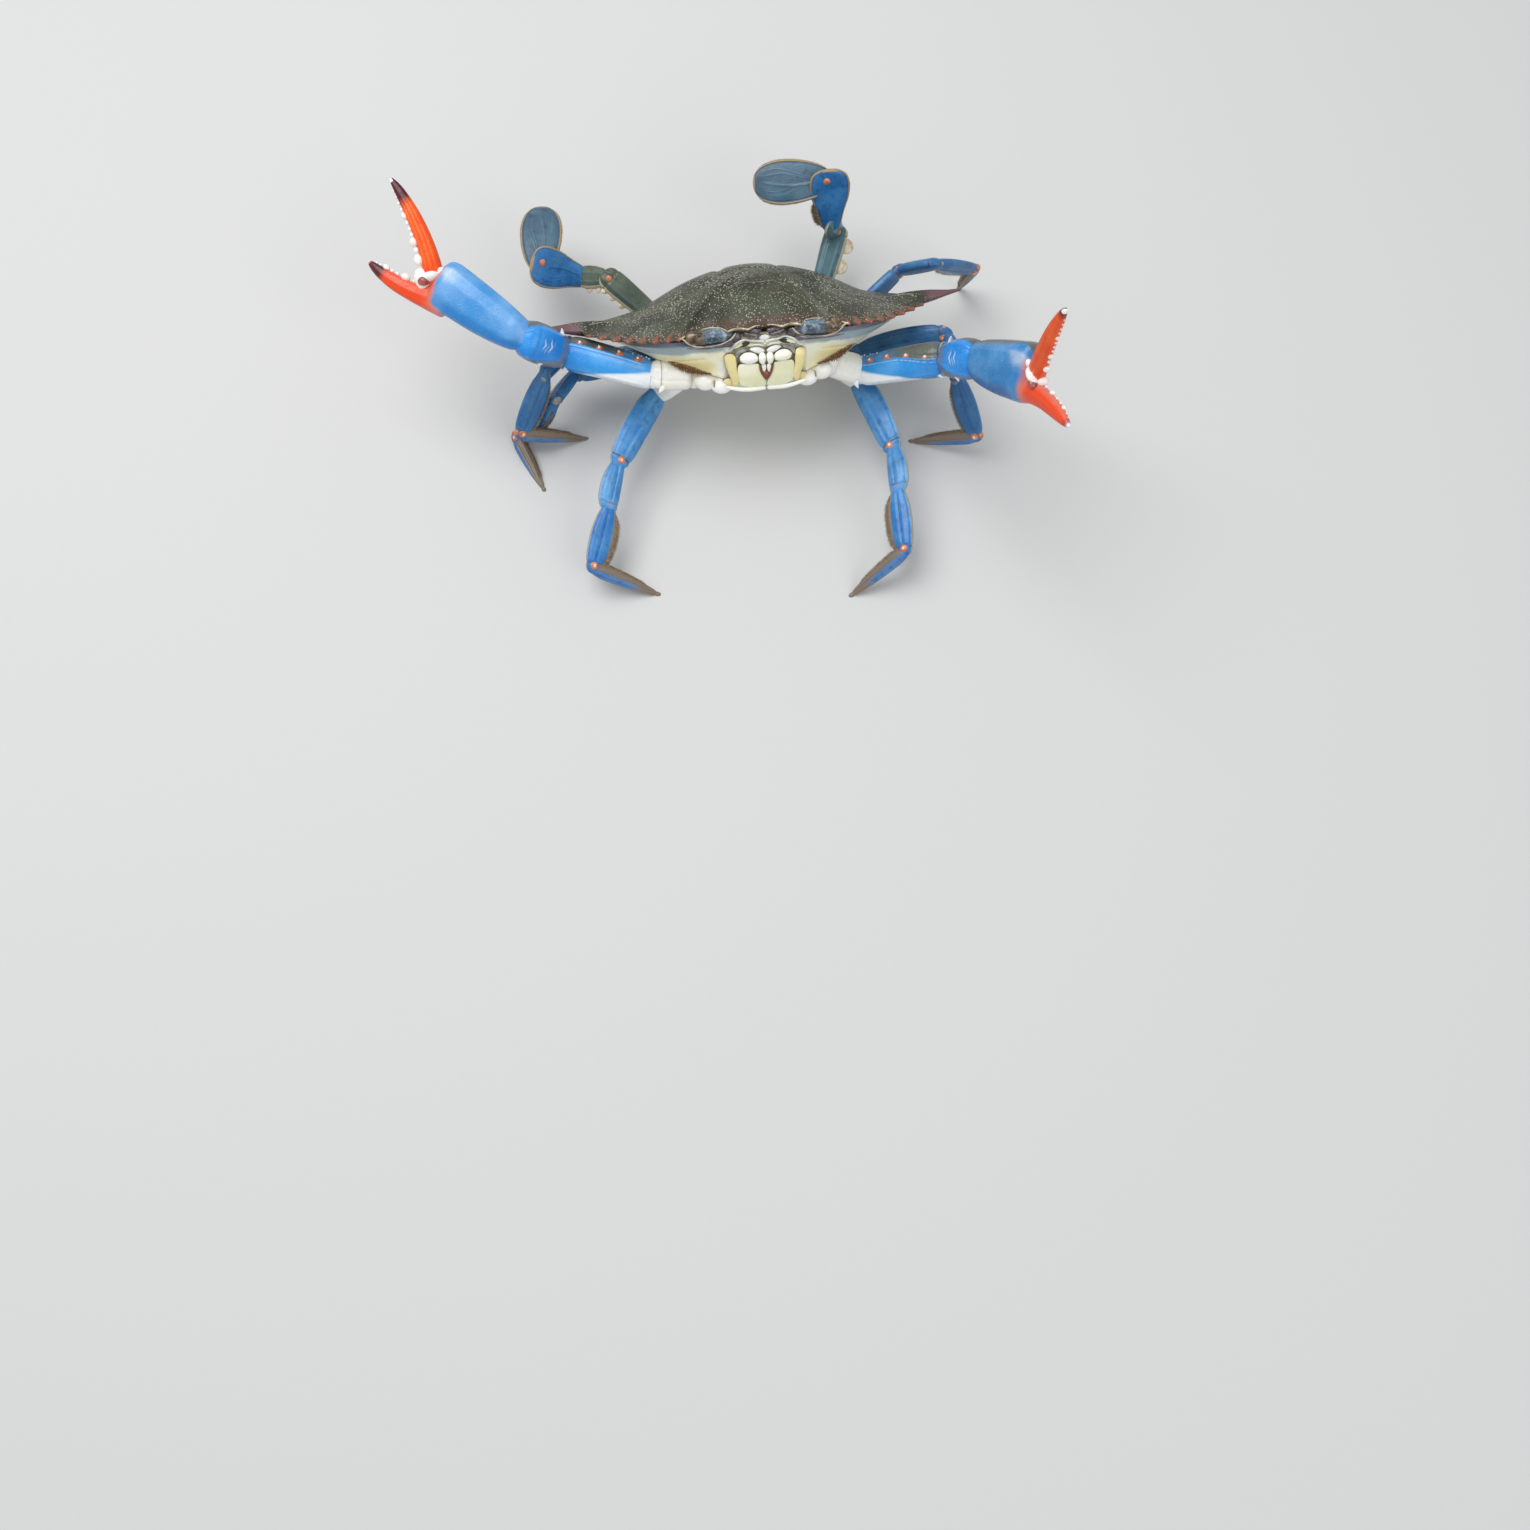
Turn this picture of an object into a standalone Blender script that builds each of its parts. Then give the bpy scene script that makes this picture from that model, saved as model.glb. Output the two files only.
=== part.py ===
"""A blue crab, adult female, whole and life size, rearing up in its threat display.

World frame: metres, +Z up, the floor at z = 0, the crab facing -Y, its own left side at +X.
Body frame: x to the crab's left, y to its rear, z to its back, in millimetres.
Each article of a limb is a lofted solid that starts inside the rounded end of the one before
and is carved back to it, which leaves a gap of 0.3 mm at every joint.
"""

import math

import bmesh
import bpy
import numpy as np
from mathutils import Vector

# Driving dimensions, in millimetres and degrees
MM = 0.001
GAP = 0.3
SPINE_TO_SPINE = 155.0
SPINE_LENGTH = 15.5
BODY_FRONT = -33.0
BODY_REAR = 29.5
DOME_HEIGHT = 12.0
DOME_WIDTH = 40.0
DOME_BRIM = 0.35
TOOTH_TIP = 0.36
MARGIN_DROOP = 3.3
BODY_DEPTH = 23.6
BODY_HEIGHT = 40.5
BODY_PITCH = 41.7
BODY_ROLL = 2.5
BODY_YAW = 1.8
FLOOR_BITE = 0.3
CENTRE_X = 21.03
CENTRE_Y = 21.72
EYE_RADIUS = 2.6
FINGER_LENGTH = 37.0
POLLEX_LENGTH = 26.0

# Hips in the body frame, for the left side
HIPS = {
    "claw": (24.5, -16.0, -20.5),
    "leg_1": (28.0, -6.2, -23.2),
    "leg_2": (29.5, 3.3, -21.0),
    "leg_3": (28.0, 12.0, -17.0),
    "paddle": (25.5, 20.5, -7.0),
}
# Article lengths from joint to joint: ischium, merus, carpus, propodus, dactyl
LENGTHS = {
    "claw": (13.4, 35.5, 19.0, 36.0),
    "leg_1": (13.2, 31.8, 17.3, 23.4, 26.9),
    "leg_2": (10.0, 33.5, 17.0, 24.5, 28.0),
    "leg_3": (9.0, 30.0, 17.0, 25.0, 23.5),
    "paddle": (11.6, 22.2, 11.2, 19.0, 28.4),
}
# The pose: azimuth and elevation of each article. A walking dactyl only has an azimuth,
# because it drops to the floor.
POSE = {
    "claw_right": ((-179, 13), (156, -3.5), (-170.5, 50), (140.5, 12.5)),
    "claw_left": ((-1, -31), (-16.5, 29), (-56, 52), (-60, 45.5)),
    "leg_1_right": ((176.6, -46.5), (-122.6, -1.2), (-107, -5.9), (-110.4, -11.6), (-19,)),
    "leg_1_left": ((-10.9, -44.6), (-72.9, 1.4), (-91.7, 3.3), (-89.8, -10.3), (-155.4,)),
    "leg_2_right": ((-167, 14.5), (158.5, -7.5), (-120, 30), (-129.5, -40.5), (9.5,)),
    "leg_2_left": ((-12, -6.5), (-6.5, 22.5), (-83.5, -3.5), (-64.5, -46.5), (159.5,)),
    "leg_3_right": ((-171, -15.5), (-177, -6.5), (-120, 18), (-166.5, -45), (-68,)),
    "leg_3_left": ((30, -25), (31, 26), (-25, 38), (23, -41), (107.5,)),
    "paddle_right": ((158.2, -30.2), (139.9, 22.2), (158, -21.1), (-174.5, 37.2), (85.3, -0.4)),
    "paddle_left": ((64.6, -29.8), (65.5, 25.4), (-132.8, 63.3), (92.1, 70.4), (174.7, -4.6)),
}
# Where the flat faces of the articles look: one direction for a limb, and one for each palm
FACES = {"claw": (-95, 58), "paddle": (-95, 58)}
PALM_FACES = {"right": (-102, 64), "left": (-171, 25)}
# How far each paddle's last article lies behind the one before it
PADDLE_LAP = 2.6
# How far the two fingers open from the palm's axis
FINGER_OPEN = {"right": 37.0, "left": 44.5}
POLLEX_OPEN = {"right": -12.7, "left": -23.0}
# How far the fingers lean to the palm's inner face
FINGER_LEAN = {"right": 2.0, "left": 17.5}
POLLEX_LEAN = {"right": -9.0, "left": 3.0}
# Where the fingers leave the palm's end, up from its axis, and how far they bow out
FINGER_BASE = {"right": -2.2, "left": -1.8}
POLLEX_BASE = {"right": -6.4, "left": -5.1}
FINGER_BOW = {"right": 3.2, "left": 0.4}
POLLEX_BOW = {"right": 1.3, "left": -2.0}
PALM_SCALE = {"right": 1.0, "left": 1.1}

ARTICLES = ("ischium", "merus", "carpus", "propodus", "dactyl")
SHELL_SIDES = {"right": -1.0, "left": 1.0}

COLOURS = {
    "olive": (0.085, 0.095, 0.060),
    "cream": (0.74, 0.70, 0.50),
    "blue": (0.030, 0.190, 0.560),
    "sky": (0.050, 0.300, 0.720),
    "denim": (0.060, 0.170, 0.330),
    "teal": (0.080, 0.190, 0.270),
    "orange": (0.720, 0.110, 0.020),
    "eye": (0.020, 0.040, 0.060),
    "brown": (0.200, 0.110, 0.060),
    "white": (0.800, 0.790, 0.720),
}


def unit(v):
    v = np.asarray(v, float)
    return v / np.linalg.norm(v)


def heading(azimuth, elevation):
    a = math.radians(azimuth)
    e = math.radians(elevation)
    return np.array((math.cos(e) * math.cos(a), math.cos(e) * math.sin(a), math.sin(e)))


def smooth(t):
    t = min(max(t, 0.0), 1.0)
    return t * t * (3.0 - 2.0 * t)


def lerp_table(t, table):
    """Reads a table of (t, value) rows, straight between the rows."""
    return float(np.interp(t, [row[0] for row in table], [row[1] for row in table]))


def turn(axis, degrees):
    """Rotation matrix about a world axis."""
    c = math.cos(math.radians(degrees))
    s = math.sin(math.radians(degrees))
    if axis == "x":
        return np.array(((1, 0, 0), (0, c, -s), (0, s, c)))
    if axis == "y":
        return np.array(((c, 0, s), (0, 1, 0), (-s, 0, c)))
    return np.array(((c, -s, 0), (s, c, 0), (0, 0, 1)))


BODY_TURN = turn("z", BODY_YAW) @ turn("y", BODY_ROLL) @ turn("x", -BODY_PITCH)


def from_body(p):
    """A body-frame point in the world, in millimetres."""
    return BODY_TURN @ np.asarray(p, float) + np.array((CENTRE_X, CENTRE_Y, BODY_HEIGHT))


# Materials and mesh helpers


def material(name, colour, roughness):
    mat = bpy.data.materials.new(name)
    mat.use_nodes = True
    shader = mat.node_tree.nodes["Principled BSDF"]
    shader.inputs["Base Color"].default_value = (*colour, 1.0)
    shader.inputs["Roughness"].default_value = roughness
    shader.inputs["Metallic"].default_value = 0.0
    mat.diffuse_color = (*colour, 1.0)
    return mat


def mesh_object(name, points, faces):
    """A closed mesh from points in world millimetres, with its faces turned outward."""
    mesh = bpy.data.meshes.new(name)
    mesh.from_pydata([tuple(float(c) * MM for c in p) for p in points], [], faces)
    bm = bmesh.new()
    bm.from_mesh(mesh)
    bmesh.ops.remove_doubles(bm, verts=bm.verts, dist=1e-7)
    bmesh.ops.recalc_face_normals(bm, faces=bm.faces)
    bm.to_mesh(mesh)
    bm.free()
    ob = bpy.data.objects.new(name, mesh)
    bpy.context.scene.collection.objects.link(ob)
    return ob


def tube_faces(rings, around):
    """Quads between rings of equal count, and one polygon on each end."""
    faces = []
    for i in range(rings - 1):
        for j in range(around):
            k = (j + 1) % around
            a = i * around
            b = (i + 1) * around
            faces.append((a + j, a + k, b + k, b + j))
    faces.append(tuple(range(around)))
    last = (rings - 1) * around
    faces.append(tuple(last + j for j in reversed(range(around))))
    return faces


def loft(name, centres, forward, across, flat, sizes, around, grow=0.0):
    """A tube of superellipse rings. sizes holds (up, down, half thickness) for each ring."""
    points = []
    for i, centre in enumerate(centres):
        up, down, thick = (s + grow for s in sizes[i])
        shift = 0.0
        if i == 0:
            shift = -grow
        if i == len(centres) - 1:
            shift = grow
        middle = np.asarray(centre, float) + shift * np.asarray(forward[i], float)
        for j in range(around):
            a = 2.0 * math.pi * (j + 0.5) / around
            c = math.cos(a)
            s = math.sin(a)
            wide = (up if c > 0 else down) * math.copysign(abs(c) ** 0.85, c)
            deep = thick * math.copysign(abs(s) ** 0.85, s)
            points.append(middle + wide * np.asarray(across[i]) + deep * np.asarray(flat[i]))
    return mesh_object(name, points, tube_faces(len(centres), around))


def closed(mesh):
    bm = bmesh.new()
    bm.from_mesh(mesh)
    good = len(bm.faces) > 3 and all(len(e.link_faces) == 2 for e in bm.edges)
    volume = bm.calc_volume(signed=True) if good else 0.0
    bm.free()
    return good and volume > 0.0


def keep_largest(ob):
    """Keeps the closed surface with the largest volume, and drops crumbs of a cut."""
    bm = bmesh.new()
    bm.from_mesh(ob.data)
    bmesh.ops.remove_doubles(bm, verts=bm.verts, dist=2e-6)
    bmesh.ops.dissolve_degenerate(bm, edges=bm.edges, dist=2e-6)
    left = set(bm.faces)
    shells = []
    while left:
        seed = left.pop()
        shell = {seed}
        queue = [seed]
        while queue:
            face = queue.pop()
            for edge in face.edges:
                for other in edge.link_faces:
                    if other in left:
                        left.remove(other)
                        shell.add(other)
                        queue.append(other)
        shells.append(shell)

    def size(shell):
        total = 0.0
        for face in shell:
            v = [x.co for x in face.verts]
            for i in range(1, len(v) - 1):
                total += v[0].dot(v[i].cross(v[i + 1]))
        return abs(total)

    if len(shells) > 1:
        best = max(shells, key=size)
        extra = [f for f in bm.faces if f not in best]
        bmesh.ops.delete(bm, geom=extra, context="FACES")
    bmesh.ops.recalc_face_normals(bm, faces=bm.faces)
    bm.to_mesh(ob.data)
    bm.free()


def combine(ob, others, operation):
    """A Boolean of ob with closed meshes, applied, and the other objects removed."""
    group = bpy.data.collections.new(ob.name + "_cut")
    bpy.context.scene.collection.children.link(group)
    for other in others:
        for owner in list(other.users_collection):
            owner.objects.unlink(other)
        group.objects.link(other)
    before = ob.data
    for solver in ("EXACT", "MANIFOLD"):
        mod = ob.modifiers.new("cut", "BOOLEAN")
        mod.operation = operation
        mod.operand_type = "COLLECTION"
        mod.collection = group
        mod.solver = solver
        graph = bpy.context.evaluated_depsgraph_get()
        graph.update()
        made = bpy.data.meshes.new_from_object(ob.evaluated_get(graph))
        ob.modifiers.remove(mod)
        if closed(made):
            ob.data = made
            bpy.data.meshes.remove(before)
            break
        bpy.data.meshes.remove(made)
    for other in list(group.objects):
        bpy.data.objects.remove(other, do_unlink=True)
    bpy.data.collections.remove(group)
    keep_largest(ob)


def finish(ob, mat, angle=40.0):
    ob.data.materials.clear()
    ob.data.materials.append(mat)
    ob.data.shade_smooth()
    ob.data.set_sharp_from_angle(angle=math.radians(angle))


def spike(root, direction, length, radius, sides=6):
    """A cone with a blunt tip, its root sunk under the surface that carries it."""
    d = unit(direction)
    side = unit(np.cross(d, (0.31, 0.52, 0.79)))
    other = np.cross(d, side)
    points = []
    for along, r in ((-1.2, radius), (length, max(0.22, radius * 0.22))):
        for j in range(sides):
            a = 2.0 * math.pi * j / sides
            points.append(root + along * d + r * (math.cos(a) * side + math.sin(a) * other))
    return mesh_object("spike", points, tube_faces(2, sides))


# The body: carapace, underbody, eyes, mouth, antennae and apron


def margin_height(x):
    """The carapace margin sinks to the sides and rises a little along the lateral spines."""
    a = abs(x)
    return -MARGIN_DROOP * smooth((a - 6.0) / 44.0) + 1.5 * smooth((a - 61.0) / 16.0)


def margin_points():
    """The left half of the margin from front to rear: (edge x, edge y, base x, base y).

    The edge runs over the tips and notches of the teeth, the base is the smooth margin.
    """
    f = BODY_FRONT
    rows = [
        (0.0, f + 2.4, 0.0, f + 1.6),
        (3.0, f + 1.2, 3.0, f + 1.4),
        (6.0, f - 2.0, 6.0, f + 1.0),
        (9.3, f + 1.2, 9.3, f + 0.9),
        (13.0, f - 1.4, 12.6, f + 1.2),
        (15.0, f + 3.2, 15.0, f + 4.2),
        (18.5, f + 5.0, 18.5, f + 6.0),
        (23.0, f + 4.6, 23.0, f + 5.6),
        (26.6, f + 2.2, 26.6, f + 3.6),
        (29.8, f - 0.9, 29.2, f + 1.8),
    ]
    first = 31.2
    last = 61.5
    teeth = 7
    for i in range(teeth):
        for part in (0.0, TOOTH_TIP):
            t = (i + part) / teeth
            x = first + (last - first) * t
            y = anterolateral(x)
            slope = anterolateral(x + 0.5) - anterolateral(x - 0.5)
            out = unit((slope, -1.0))
            reach = 0.1 if part == 0.0 else 2.3 + 0.9 * t
            rows.append((x + out[0] * reach, y + out[1] * reach, x, y))
    root_y = anterolateral(last)
    tip = SPINE_TO_SPINE / 2.0
    mid = tip - SPINE_LENGTH * 0.5
    rows.append((last + 1.0, root_y + 1.4, last, root_y + 1.8))
    rows.append((mid, -4.2, last + 0.2, -3.6))
    rows.append((tip, -1.4, last + 0.3, -2.6))
    rows.append((mid, 0.2, last + 0.2, -1.4))
    rows.append((last + 0.4, 2.6, last - 0.2, 1.2))
    for x, y in ((55.0, 5.8), (47.5, 11.2), (40.0, 16.4), (33.0, 21.6), (27.0, 25.2)):
        rows.append((x, y, x - 0.8, y - 0.8))
    rows.append((21.0, BODY_REAR - 1.7, 20.6, BODY_REAR - 2.7))
    rows.append((10.0, BODY_REAR - 0.3, 10.0, BODY_REAR - 1.3))
    rows.append((0.0, BODY_REAR, 0.0, BODY_REAR - 1.0))
    return rows


def anterolateral(x):
    """y of the arc that carries the teeth, from the orbit to the lateral spine."""
    table = ((30, -31.6), (36, -29.4), (42, -26.0), (48, -21.6), (54, -16.2), (58, -11.6),
             (61.5, -7.0))
    return lerp_table(x, table)


def full_margin():
    """Both sides as one loop that runs from the front along the left side and back."""
    half = margin_points()
    loop = list(half)
    for ex, ey, bx, by in reversed(half[1:-1]):
        loop.append((-ex, ey, -bx, by))
    return loop


def dome(x, y, fraction):
    """Height of the back at a fraction of the way from the centre to the margin.

    The back is swollen over the middle and runs out to the sides in a thin brim.
    """
    swollen = DOME_BRIM + (1.0 - DOME_BRIM) * math.exp(-(abs(x) / DOME_WIDTH) ** 5)
    side = swollen * max(0.0, 1.0 - (x / 62.0) ** 2) ** 0.6
    rise = DOME_HEIGHT * max(0.0, 1.0 - fraction ** 2.0) ** 0.8 * side
    return margin_height(x) + 0.5 + rise


CARAPACE_CENTRE = (0.0, -1.0)


def scaled(base_x, base_y, fraction):
    cx, cy = CARAPACE_CENTRE
    return cx + (base_x - cx) * fraction, cy + (base_y - cy) * fraction


def build_carapace():
    loop = full_margin()
    n = len(loop)
    points = []
    rings = []
    # Underside, from the flat floor out to the margin
    flat = []
    for _, _, bx, by in loop:
        x, y = scaled(bx, by, 0.80)
        flat.append((x, y, -4.5))
    rings.append(flat)
    rings.append([(*scaled(bx, by, 0.955), margin_height(bx * 0.955) - 1.0)
                  for _, _, bx, by in loop])
    rings.append([(ex, ey, margin_height(ex) - 0.45) for ex, ey, _, _ in loop])
    rings.append([(ex, ey, margin_height(ex) + 0.25) for ex, ey, _, _ in loop])
    # Back, from the margin up to the crown
    for fraction in (0.965, 0.88, 0.75, 0.58, 0.38, 0.17):
        ring = []
        for _, _, bx, by in loop:
            x, y = scaled(bx, by, fraction)
            ring.append((x, y, dome(x, y, fraction)))
        rings.append(ring)
    for ring in rings:
        points.extend(from_body(p) for p in ring)
    faces = tube_faces(len(rings), n)
    faces.pop()
    points.append(from_body((*CARAPACE_CENTRE, dome(0.0, 0.0, 0.0))))
    last = (len(rings) - 1) * n
    for j in range(n):
        faces.append((last + j, last + (j + 1) % n, len(points) - 1))
    ob = mesh_object("carapace", points, faces)
    combine(ob, [spine_core(sign) for sign in SHELL_SIDES.values()], "UNION")
    return ob


def spine_core(sign):
    """The round core of a lateral spine, from inside the margin almost to its tip."""
    root_x = SPINE_TO_SPINE / 2.0 - SPINE_LENGTH
    tip_x = SPINE_TO_SPINE / 2.0 - 1.2
    root = from_body((sign * root_x, -2.4, margin_height(root_x) - 0.1))
    tip = from_body((sign * tip_x, -1.6, margin_height(tip_x) - 0.1))
    return spike(root, tip - root, float(np.linalg.norm(tip - root)), 1.9, 8)


def build_underbody():
    """The face, the slopes beneath the margin, the breast plate and the coxal shelf."""
    loop = full_margin()
    n = len(loop)
    rings = []
    rings.append([(*scaled(bx, by, 0.80), -4.5 - GAP - 0.05) for _, _, bx, by in loop])
    ring = []
    for _, _, bx, by in loop:
        x, y = scaled(bx, by, 0.90)
        over = margin_height(bx * 0.955) - 1.0
        z = over + (0.055 / 0.155) * (-4.5 - over) - GAP - 0.25
        ring.append((x, y, z))
    rings.append(ring)
    # (height, half width, front, rear)
    sections = ((-6.2, 52.0, -31.8, 26.0), (-10.5, 43.5, -30.6, 25.0), (-15.5, 36.0, -29.0, 23.5),
                (-20.0, 30.5, -27.4, 22.0), (-22.5, 27.0, -26.2, 20.0),
                (-BODY_DEPTH, 23.5, -24.0, 17.5))
    for z, wide, front, rear in sections:
        middle = 0.5 * (front + rear)
        deep = 0.5 * (rear - front)
        ring = []
        for _, _, bx, by in loop:
            angle = math.atan2((by + 1.0) / 31.0, bx / 61.0)
            c = math.cos(angle)
            s = math.sin(angle)
            x = wide * math.copysign(abs(c) ** 0.86, c)
            y = middle + deep * math.copysign(abs(s) ** 0.8, s)
            ring.append((x, y, z))
        rings.append(ring)
    points = [from_body(p) for ring in rings for p in ring]
    return mesh_object("underbody", points, tube_faces(len(rings), n))


def body_path(name, path, sizes, up, around, grow=0.0):
    """A tube through body-frame points."""
    world = [from_body(p) for p in path]
    forward = []
    across = []
    flat = []
    guide = BODY_TURN @ np.asarray(up, float)
    for i in range(len(world)):
        a = world[max(i - 1, 0)]
        b = world[min(i + 1, len(world) - 1)]
        d = unit(b - a)
        n = unit(guide - d * float(guide @ d))
        forward.append(d)
        flat.append(n)
        across.append(np.cross(n, d))
    return loft(name, world, forward, across, flat, sizes, around, grow)


def build_eye(side, grow=0.0):
    s = SHELL_SIDES[side]
    r = EYE_RADIUS
    path = [(s * x, y, z) for x, y, z in
            ((14.4, -29.2, -2.6), (16.2, -29.6, -2.5), (18.2, -30.0, -2.3), (20.4, -30.3, -2.2),
             (22.2, -30.4, -2.2), (23.4, -30.4, -2.2), (24.0, -30.4, -2.2))]
    sizes = [(k * r, k * r, k * r) for k in (0.55, 0.74, 0.92, 1.0, 0.84, 0.52, 0.2)]
    return body_path("eye_" + side, path, sizes, (0, 0, 1), 10, grow)


def build_maxilliped(side, grow=0.0):
    s = SHELL_SIDES[side]
    path = [(s * 6.9, y, z) for y, z in
            ((-31.6, -8.2), (-31.6, -10.6), (-31.0, -14.0), (-30.2, -17.4), (-29.2, -20.6),
             (-28.2, -22.6))]
    sizes = ((5.0, 5.0, 1.1), (5.7, 5.7, 1.5), (6.1, 6.1, 1.6), (6.1, 6.1, 1.6),
             (5.6, 5.6, 1.5), (4.2, 4.2, 1.1))
    return body_path("maxilliped_" + side, path, sizes, (0, -1, 0), 10, grow)


def build_antenna(side, grow=0.0):
    s = SHELL_SIDES[side]
    path = [(s * x, y, z) for x, y, z in
            ((11.6, -31.4, -5.0), (12.6, -33.4, -4.9), (15.0, -34.7, -4.9), (18.6, -35.5, -4.9),
             (23.0, -35.7, -4.8), (27.6, -35.2, -4.5))]
    sizes = ((1.3, 1.3, 1.3), (1.25, 1.25, 1.25), (0.8, 0.8, 0.8), (0.55, 0.55, 0.55),
             (0.45, 0.45, 0.45), (0.3, 0.3, 0.3))
    return body_path("antenna_" + side, path, sizes, (0, 0, 1), 8, grow)


def build_apron():
    """The broad rounded abdomen of a mature female, folded forward under the breast."""
    path = [(0.0, y, -BODY_DEPTH - GAP - 1.0) for y in
            (21.0, 18.5, 13.0, 6.5, 0.5, -4.5, -8.0, -10.0)]
    wide = (9.0, 15.0, 18.0, 18.2, 16.0, 11.5, 6.0, 2.0)
    sizes = [(w, w, 1.0) for w in wide]
    return body_path("apron", path, sizes, (0, 0, 1), 12)


# The limbs


def limb_joints(limb, side):
    """World positions of a limb's joints, from hip to tip, and the article directions."""
    s = SHELL_SIDES[side]
    hx, hy, hz = HIPS[limb]
    joint = from_body((s * hx, hy, hz))
    joints = [joint]
    directions = []
    for length, angles in zip(LENGTHS[limb], POSE[limb + "_" + side]):
        if len(angles) == 1:
            drop = -(joint[2] + FLOOR_BITE) / length
            direction = heading(angles[0], math.degrees(math.asin(drop)))
        else:
            direction = heading(*angles)
        joint = joint + length * direction
        joints.append(joint)
        directions.append(direction)
    return joints, directions


def face_of(limb, side, index, directions):
    """Where the flat face of an article looks."""
    if limb == "claw" and index == 3:
        return heading(*PALM_FACES[side])
    if limb in FACES:
        return heading(*FACES[limb])
    fold = np.cross(directions[3], directions[4])
    toward = heading(-95, 58)
    return unit(fold) * (1.0 if fold @ toward > 0 else -1.0)


def article_frame(limb, side, index, directions):
    """Forward, across (to the outer edge) and flat (the face) of an article."""
    d = directions[index]
    hint = face_of(limb, side, index, directions)
    flat = unit(hint - d * float(hint @ d))
    across = np.cross(flat, d) * SHELL_SIDES[side]
    return d, across, flat


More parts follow.
